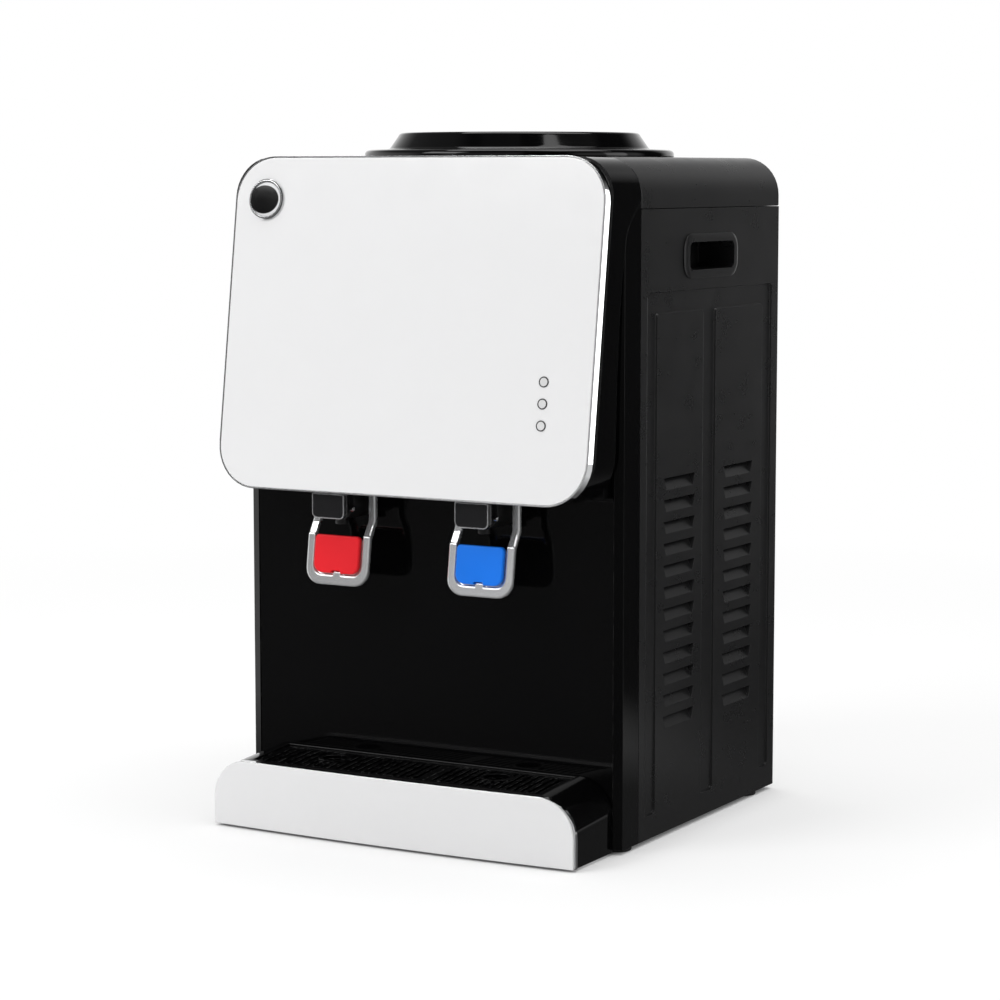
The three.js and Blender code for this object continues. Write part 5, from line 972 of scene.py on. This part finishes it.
class DISPENSER_OT_rear(BuildsPieces, bpy.types.Operator):
    """Rear panel with its switches, cord gland, drain and condenser"""

    bl_idname = "dispenser.rear"
    bl_label = "Rear"

    def condenser(self):
        """A tube bent to and fro behind the rear panel, on two rails and under upright wires."""
        end_low, end_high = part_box("condenser")
        tube, corner, last = 2.4 * MM, 20 * MM, 12 * MM  # radii of the tube and its bends at the ends
        runs = 5
        inlet, outlet = 50 * MM, 16 * MM  # height of the tube's start, length of its end
        depth = end_high.y - 3.6 * MM
        bottom, top = 98 * MM, end_high.z - 12 * MM
        pitch = (top - bottom) / runs
        turn = pitch / 2
        half = end_high.x - tube
        entry = half - corner
        bm = bmesh.new()
        steps = [
            (0.0, depth - corner - end_low.y, 0.0),
            ((-entry, depth - corner, inlet + corner), (1, 0, 0), 90),
            (0.0, 0.0, bottom - inlet - 2 * corner),
            ((-entry + corner, depth, bottom - corner), (0, 1, 0), 90),
            (half - turn + entry - corner, 0.0, 0.0),
        ]
        for run in range(runs):
            side = -1 if run % 2 else 1
            centre = (side * (half - turn), depth, bottom + run * pitch + turn)
            steps.append((centre, (0, -side, 0), 180))
            if run < runs - 1:
                steps.append((-side * 2 * (half - turn), 0.0, 0.0))
        steps += [
            (-2 * half + turn + last, 0.0, 0.0),
            ((-half + last, depth - last, top), (0, 0, 1), 90),
            (0.0, -outlet + last, 0.0),
        ]
        swept(bm, Vector((-entry, end_low.y, inlet)), tube, steps)
        field = 2 * half - pitch - 30 * MM
        self.wires_and_rails(bm, bottom - 12 * MM, top + 12 * MM, field, depth, end_high.y)
        obj = settle("condenser_surface", bm, enamel(), CABINET, ["condenser"])
        soften(obj, 0.0003, 2)

    def wires_and_rails(self, bm, low, high, field, depth, rear):
        """Upright wires behind the tube, and two rails with their feet in front of it."""
        wires, wire = 6, 0.8 * MM  # how many, and half their width
        for index in range(wires):
            x = -field / 2 + field * index / (wires - 1)
            block(bm, (x - wire, rear - 2 * wire, low), (x + wire, rear, high))
        rail, sheet, foot = 4.5 * MM, 1.4 * MM, 14 * MM  # half a rail's width, its thickness, its foot
        face = depth - 2 * MM
        for side in (-1, 1):
            x = side * (field / 2 + 10 * MM)
            block(bm, (x - rail, face - sheet, low), (x + rail, face, high))
            for z in (low, high - foot):
                block(bm, (x - rail, depth - 11.6 * MM, z), (x + rail, face - 1 * MM, z + foot))

    def execute(self, context):
        surfaced("rear_panel", satin_black(), CABINET, 0.0003, 2)
        self.condenser()
        for name, colour, slot in (("hot", hot_red(), "red"), ("cold", cold_blue(), "blue")):
            surfaced(f"{name}_switch_housing", matt_black(), CABINET, 0.0005)
            surfaced(f"{name}_switch_rocker", colour, f"{name}_rocker", 0.0004)
        surfaced("cord_gland", matt_black(), CABINET, 0.0005)
        surfaced("drain_spout", matt_black(), CABINET, 0.0004)
        surfaced("drain_cap", matt_black(), "drain_cap", 0.0005)
        return {"FINISHED"}


class DISPENSER_OT_inner_works(BuildsPieces, bpy.types.Operator):
    """Tanks, foam, shelf, compressor and pipes"""

    bl_idname = "dispenser.inner_works"
    bl_label = "Inner works"

    def execute(self, context):
        surfaced("tank_shelf", galvanised(), CABINET, 0.0004, 2)
        surfaced("hot_tank_cradle", galvanised(), CABINET, 0.0004, 2)
        surfaced("compressor_mount", galvanised(), CABINET, 0.0004, 2)
        surfaced("tank_foam", foam(), CABINET, 0.001)
        surfaced("cold_tank", steel(), CABINET, 0.0006)
        surfaced("hot_tank", steel(), CABINET, 0.0008)
        surfaced("compressor", enamel(), CABINET, 0.0008)
        for node in ("cold_hose", "hot_hose", "feed_hose"):
            surfaced(node, hose(), CABINET, 0.0008, 3, 20.0)
        for node in ("suction_pipe", "discharge_pipe"):
            surfaced(node, copper(), CABINET, 0.0006, 3, 20.0)
        return {"FINISHED"}


# ---------------------------------------------------------------- floor, light and camera


def area_light(name, place, target, size, power):
    """A white rectangular lamp at place, turned towards target, with its power in watts."""
    data = bpy.data.lights.new(name, "AREA")
    data.shape = "RECTANGLE"
    data.size, data.size_y = size
    data.energy = power
    obj = bpy.data.objects.new(name, data)
    bpy.context.scene.collection.objects.link(obj)
    obj.location = place
    obj.rotation_euler = (Vector(target) - Vector(place)).to_track_quat("-Z", "Y").to_euler()


def surroundings(tree, x, y, stops):
    """How bright mirrors see the studio towards (x, y); a stop is (degrees from +Y to +X, level)."""
    angle = math_node(tree, "ARCTAN2", x, y)
    turn = mapped(tree, angle, 0.0, 1.0, -math.pi, math.pi)
    ramp = add(tree, "ShaderNodeValToRGB", inputs={"Fac": turn})
    ramp.color_ramp.interpolation = "LINEAR"
    for index, (degrees, level) in enumerate(stops):
        place = degrees / 360 + 0.5
        if index == 0:
            stop = ramp.color_ramp.elements[0]
        elif index == len(stops) - 1:
            stop = ramp.color_ramp.elements[-1]
        else:
            stop = ramp.color_ramp.elements.new(place)
        stop.position = place
        stop.color = (level, level, level, 1.0)
    return ramp.outputs["Color"]


# What mirrors see: white behind and to the left, pale grey at the right, and dark bands between them;
# in front the floor is dark and the room has a grey card. Only glossy and transmission rays see this.
BEHIND = (
    (-135, 0.15), (-118, 1.0), (8, 1.0), (21, 0.03), (44, 0.03), (54, 0.7), (105, 0.7), (116, 0.03),
)
FLOOR_STOPS = ((-180, 0.1), *BEHIND, (180, 0.1))
ROOM_STOPS = (
    (-180, 0.5), (-153, 0.5), (-146, 0.15), *BEHIND, (146, 0.05), (152, 0.6), (180, 0.5),
)
FLOOR_REACH = 30.0
UNDERFOOT = (0.1, 0.1, 0.1, 1.0)  # what mirrors see of the floor beside the object
WHITE = (1.0, 1.0, 1.0, 1.0)
CAMERA_PLACE = (1.0514, -1.8593, 0.477)
CAMERA_DIP = 6.53  # degrees below level
CAMERA_TURN = 29.52  # degrees from facing +Y
CAMERA_LENS = 103.19  # mm, on a 36 mm sensor


def mixed(tree, factor, a, b):
    """Shader a where factor is 0 and b where it is 1."""
    return add(tree, "ShaderNodeMixShader", inputs={0: factor, 1: a.outputs[0], 2: b.outputs[0]})


def mirror_rays(tree, path):
    """1 for the rays that a mirror or clear material sends out, from a Light Path node."""
    return math_node(
        tree, "MAXIMUM", path.outputs["Is Glossy Ray"], path.outputs["Is Transmission Ray"]
    )


class DISPENSER_OT_stage(BuildsPieces, bpy.types.Operator):
    """Pale floor, soft light and the camera"""

    bl_idname = "dispenser.stage"
    bl_label = "Stage"

    def execute(self, context):
        scene = context.scene
        scene.view_settings.view_transform = "Standard"
        self.floor()
        self.world(scene)
        area_light("Key", (-1.5, -2.3, 2.0), (0, 0, 0.25), (1.6, 1.6), 44)
        area_light("Side", (2.3, 0.6, 0.8), (0.1, 0, 0.3), (0.8, 1.4), 8)
        area_light("Top", (0.0, 0.3, 2.1), (0, 0, 0.3), (1.8, 1.2), 22)
        camera = bpy.data.cameras.new("Camera")
        camera.sensor_width = 36.0
        camera.lens = CAMERA_LENS
        obj = bpy.data.objects.new("Camera", camera)
        scene.collection.objects.link(obj)
        obj.location = CAMERA_PLACE
        obj.rotation_euler = (math.radians(90 - CAMERA_DIP), 0, math.radians(CAMERA_TURN))
        scene.camera = obj
        return {"FINISHED"}

    def floor(self):
        """A pale floor that camera rays see as white, apart from the object's shadow and a painted
        contact shade under it.
        """
        bm = bmesh.new()
        bmesh.ops.create_grid(bm, x_segments=1, y_segments=1, size=FLOOR_REACH)
        mesh = bpy.data.meshes.new("floor")
        bm.to_mesh(mesh)
        bm.free()
        material = bpy.data.materials.new("Floor")
        material.use_nodes = True
        tree = material.node_tree
        tree.nodes.clear()
        cloud = use(tree, mottle_group(), Scale=3.0, Contrast=0.6)["Value"]
        darker = tuple(c * 0.99 for c in colours().floor)
        tone = blended(tree, cloud, rgba(darker), rgba(colours().floor))
        place = add(tree, "ShaderNodeTexCoord").outputs["Object"]
        away = add(tree, "ShaderNodeVectorMath", {"operation": "LENGTH"}, {0: place}).outputs["Value"]
        path = add(tree, "ShaderNodeLightPath")
        clear = mapped(tree, away, 0.55, 1.0, 0.5, 1.6)
        parts = add(tree, "ShaderNodeSeparateXYZ", inputs={"Vector": place})
        far = surroundings(tree, parts.outputs["X"], parts.outputs["Y"], FLOOR_STOPS)
        near = blended(tree, mapped(tree, away, 0.0, 1.0, 0.27, 0.7), UNDERFOOT, far)
        mirrored = mirror_rays(tree, path)
        matt = add(tree, "ShaderNodeBsdfDiffuse", inputs={"Color": tone})
        glow = add(tree, "ShaderNodeEmission", inputs={"Color": WHITE, "Strength": 1.0})
        shine = add(tree, "ShaderNodeEmission", inputs={"Color": near, "Strength": 1.0})
        # Painted contact shade: ambient occlusion takes the white glow away close under the object, so
        # the lamp-lit floor and its real shadow show there.
        painted_contact_shade = add(tree, "ShaderNodeAmbientOcclusion", {"samples": 8}, {"Distance": 0.03})
        share = math_node(tree, "MULTIPLY", path.outputs["Is Camera Ray"], clear)
        share = math_node(tree, "MULTIPLY", share, painted_contact_shade.outputs["AO"])
        seen = mixed(tree, share, matt, glow)
        out = add(tree, "ShaderNodeOutputMaterial")
        tree.links.new(mixed(tree, mirrored, seen, shine).outputs[0], out.inputs["Surface"])
        mesh.materials.append(material)
        obj = bpy.data.objects.new("floor", mesh)
        bpy.context.scene.collection.objects.link(obj)

    def world(self, scene):
        """White for camera rays, a soft dome for light, and the room's levels for mirrors."""
        world = bpy.data.worlds.new("Studio")
        scene.world = world
        world.use_nodes = True
        tree = world.node_tree
        tree.nodes.clear()
        path = add(tree, "ShaderNodeLightPath")
        direction = add(tree, "ShaderNodeTexCoord").outputs["Generated"]
        parts = add(tree, "ShaderNodeSeparateXYZ", inputs={"Vector": direction})
        rise = {"From Min": 0.14, "From Max": 0.5, "To Min": 0.02, "To Max": 1.0}
        height = add(
            tree,
            "ShaderNodeMapRange",
            {"interpolation_type": "SMOOTHSTEP"},
            {"Value": parts.outputs["Z"], **rise},
        ).outputs["Result"]
        towards = mapped(tree, parts.outputs["Y"], 0.74, 0.54, -0.6, 0.5)
        dome = math_node(tree, "MULTIPLY", height, towards)
        level = surroundings(tree, parts.outputs["X"], parts.outputs["Y"], ROOM_STOPS)
        faint = add(tree, "ShaderNodeVectorMath", {"operation": "SCALE"}, {0: level, "Scale": 0.15})
        faint = add(
            tree, "ShaderNodeVectorMath", inputs={0: faint.outputs["Vector"], 1: (0.012, 0.012, 0.012)}
        )
        high_up = mapped(tree, parts.outputs["Z"], 0.0, 1.0, 0.2, 0.5)
        fading = blended(tree, high_up, level, faint.outputs["Vector"])
        mirrored = mirror_rays(tree, path)
        white = add(tree, "ShaderNodeBackground", inputs={"Color": WHITE, "Strength": 1.0})
        soft = add(tree, "ShaderNodeBackground", inputs={"Color": WHITE, "Strength": dome})
        shown = add(tree, "ShaderNodeBackground", inputs={"Color": fading, "Strength": 1.0})
        lit = mixed(tree, mirrored, soft, shown)
        out = add(tree, "ShaderNodeOutputWorld")
        seen = mixed(tree, path.outputs["Is Camera Ray"], lit, white)
        tree.links.new(seen.outputs[0], out.inputs["Surface"])


BUILDERS = (
    DISPENSER_OT_housing,
    DISPENSER_OT_front_panel,
    DISPENSER_OT_side_panels,
    DISPENSER_OT_top_cover,
    DISPENSER_OT_bottle_seat,
    DISPENSER_OT_drip_tray,
    DISPENSER_OT_taps,
    DISPENSER_OT_base,
    DISPENSER_OT_rear,
    DISPENSER_OT_inner_works,
    DISPENSER_OT_stage,
)


class DISPENSER_PT_sidebar(bpy.types.Panel):
    """Lists the building steps in the 3D view's sidebar"""

    bl_idname = "DISPENSER_PT_sidebar"
    bl_label = "Water dispenser"
    bl_space_type = "VIEW_3D"
    bl_region_type = "UI"
    bl_category = "Dispenser"

    def draw(self, context):
        for builder in BUILDERS:
            self.layout.operator(builder.bl_idname)
        for settings in (sizes(), colours()):
            for name in settings.__annotations__:
                self.layout.prop(settings, name)


CLASSES = (DispenserSizes, DispenserColours, *BUILDERS, DISPENSER_PT_sidebar)


def register():
    for cls in CLASSES:
        bpy.utils.register_class(cls)
    bpy.types.Scene.dispenser_sizes = bpy.props.PointerProperty(type=DispenserSizes)
    bpy.types.Scene.dispenser_colours = bpy.props.PointerProperty(type=DispenserColours)


def unregister():
    del bpy.types.Scene.dispenser_colours
    del bpy.types.Scene.dispenser_sizes
    for cls in reversed(CLASSES):
        bpy.utils.unregister_class(cls)


def main():
    register()
    for builder in BUILDERS:
        group, name = builder.bl_idname.split(".")
        getattr(getattr(bpy.ops, group), name)()


if __name__ == "__main__":
    main()
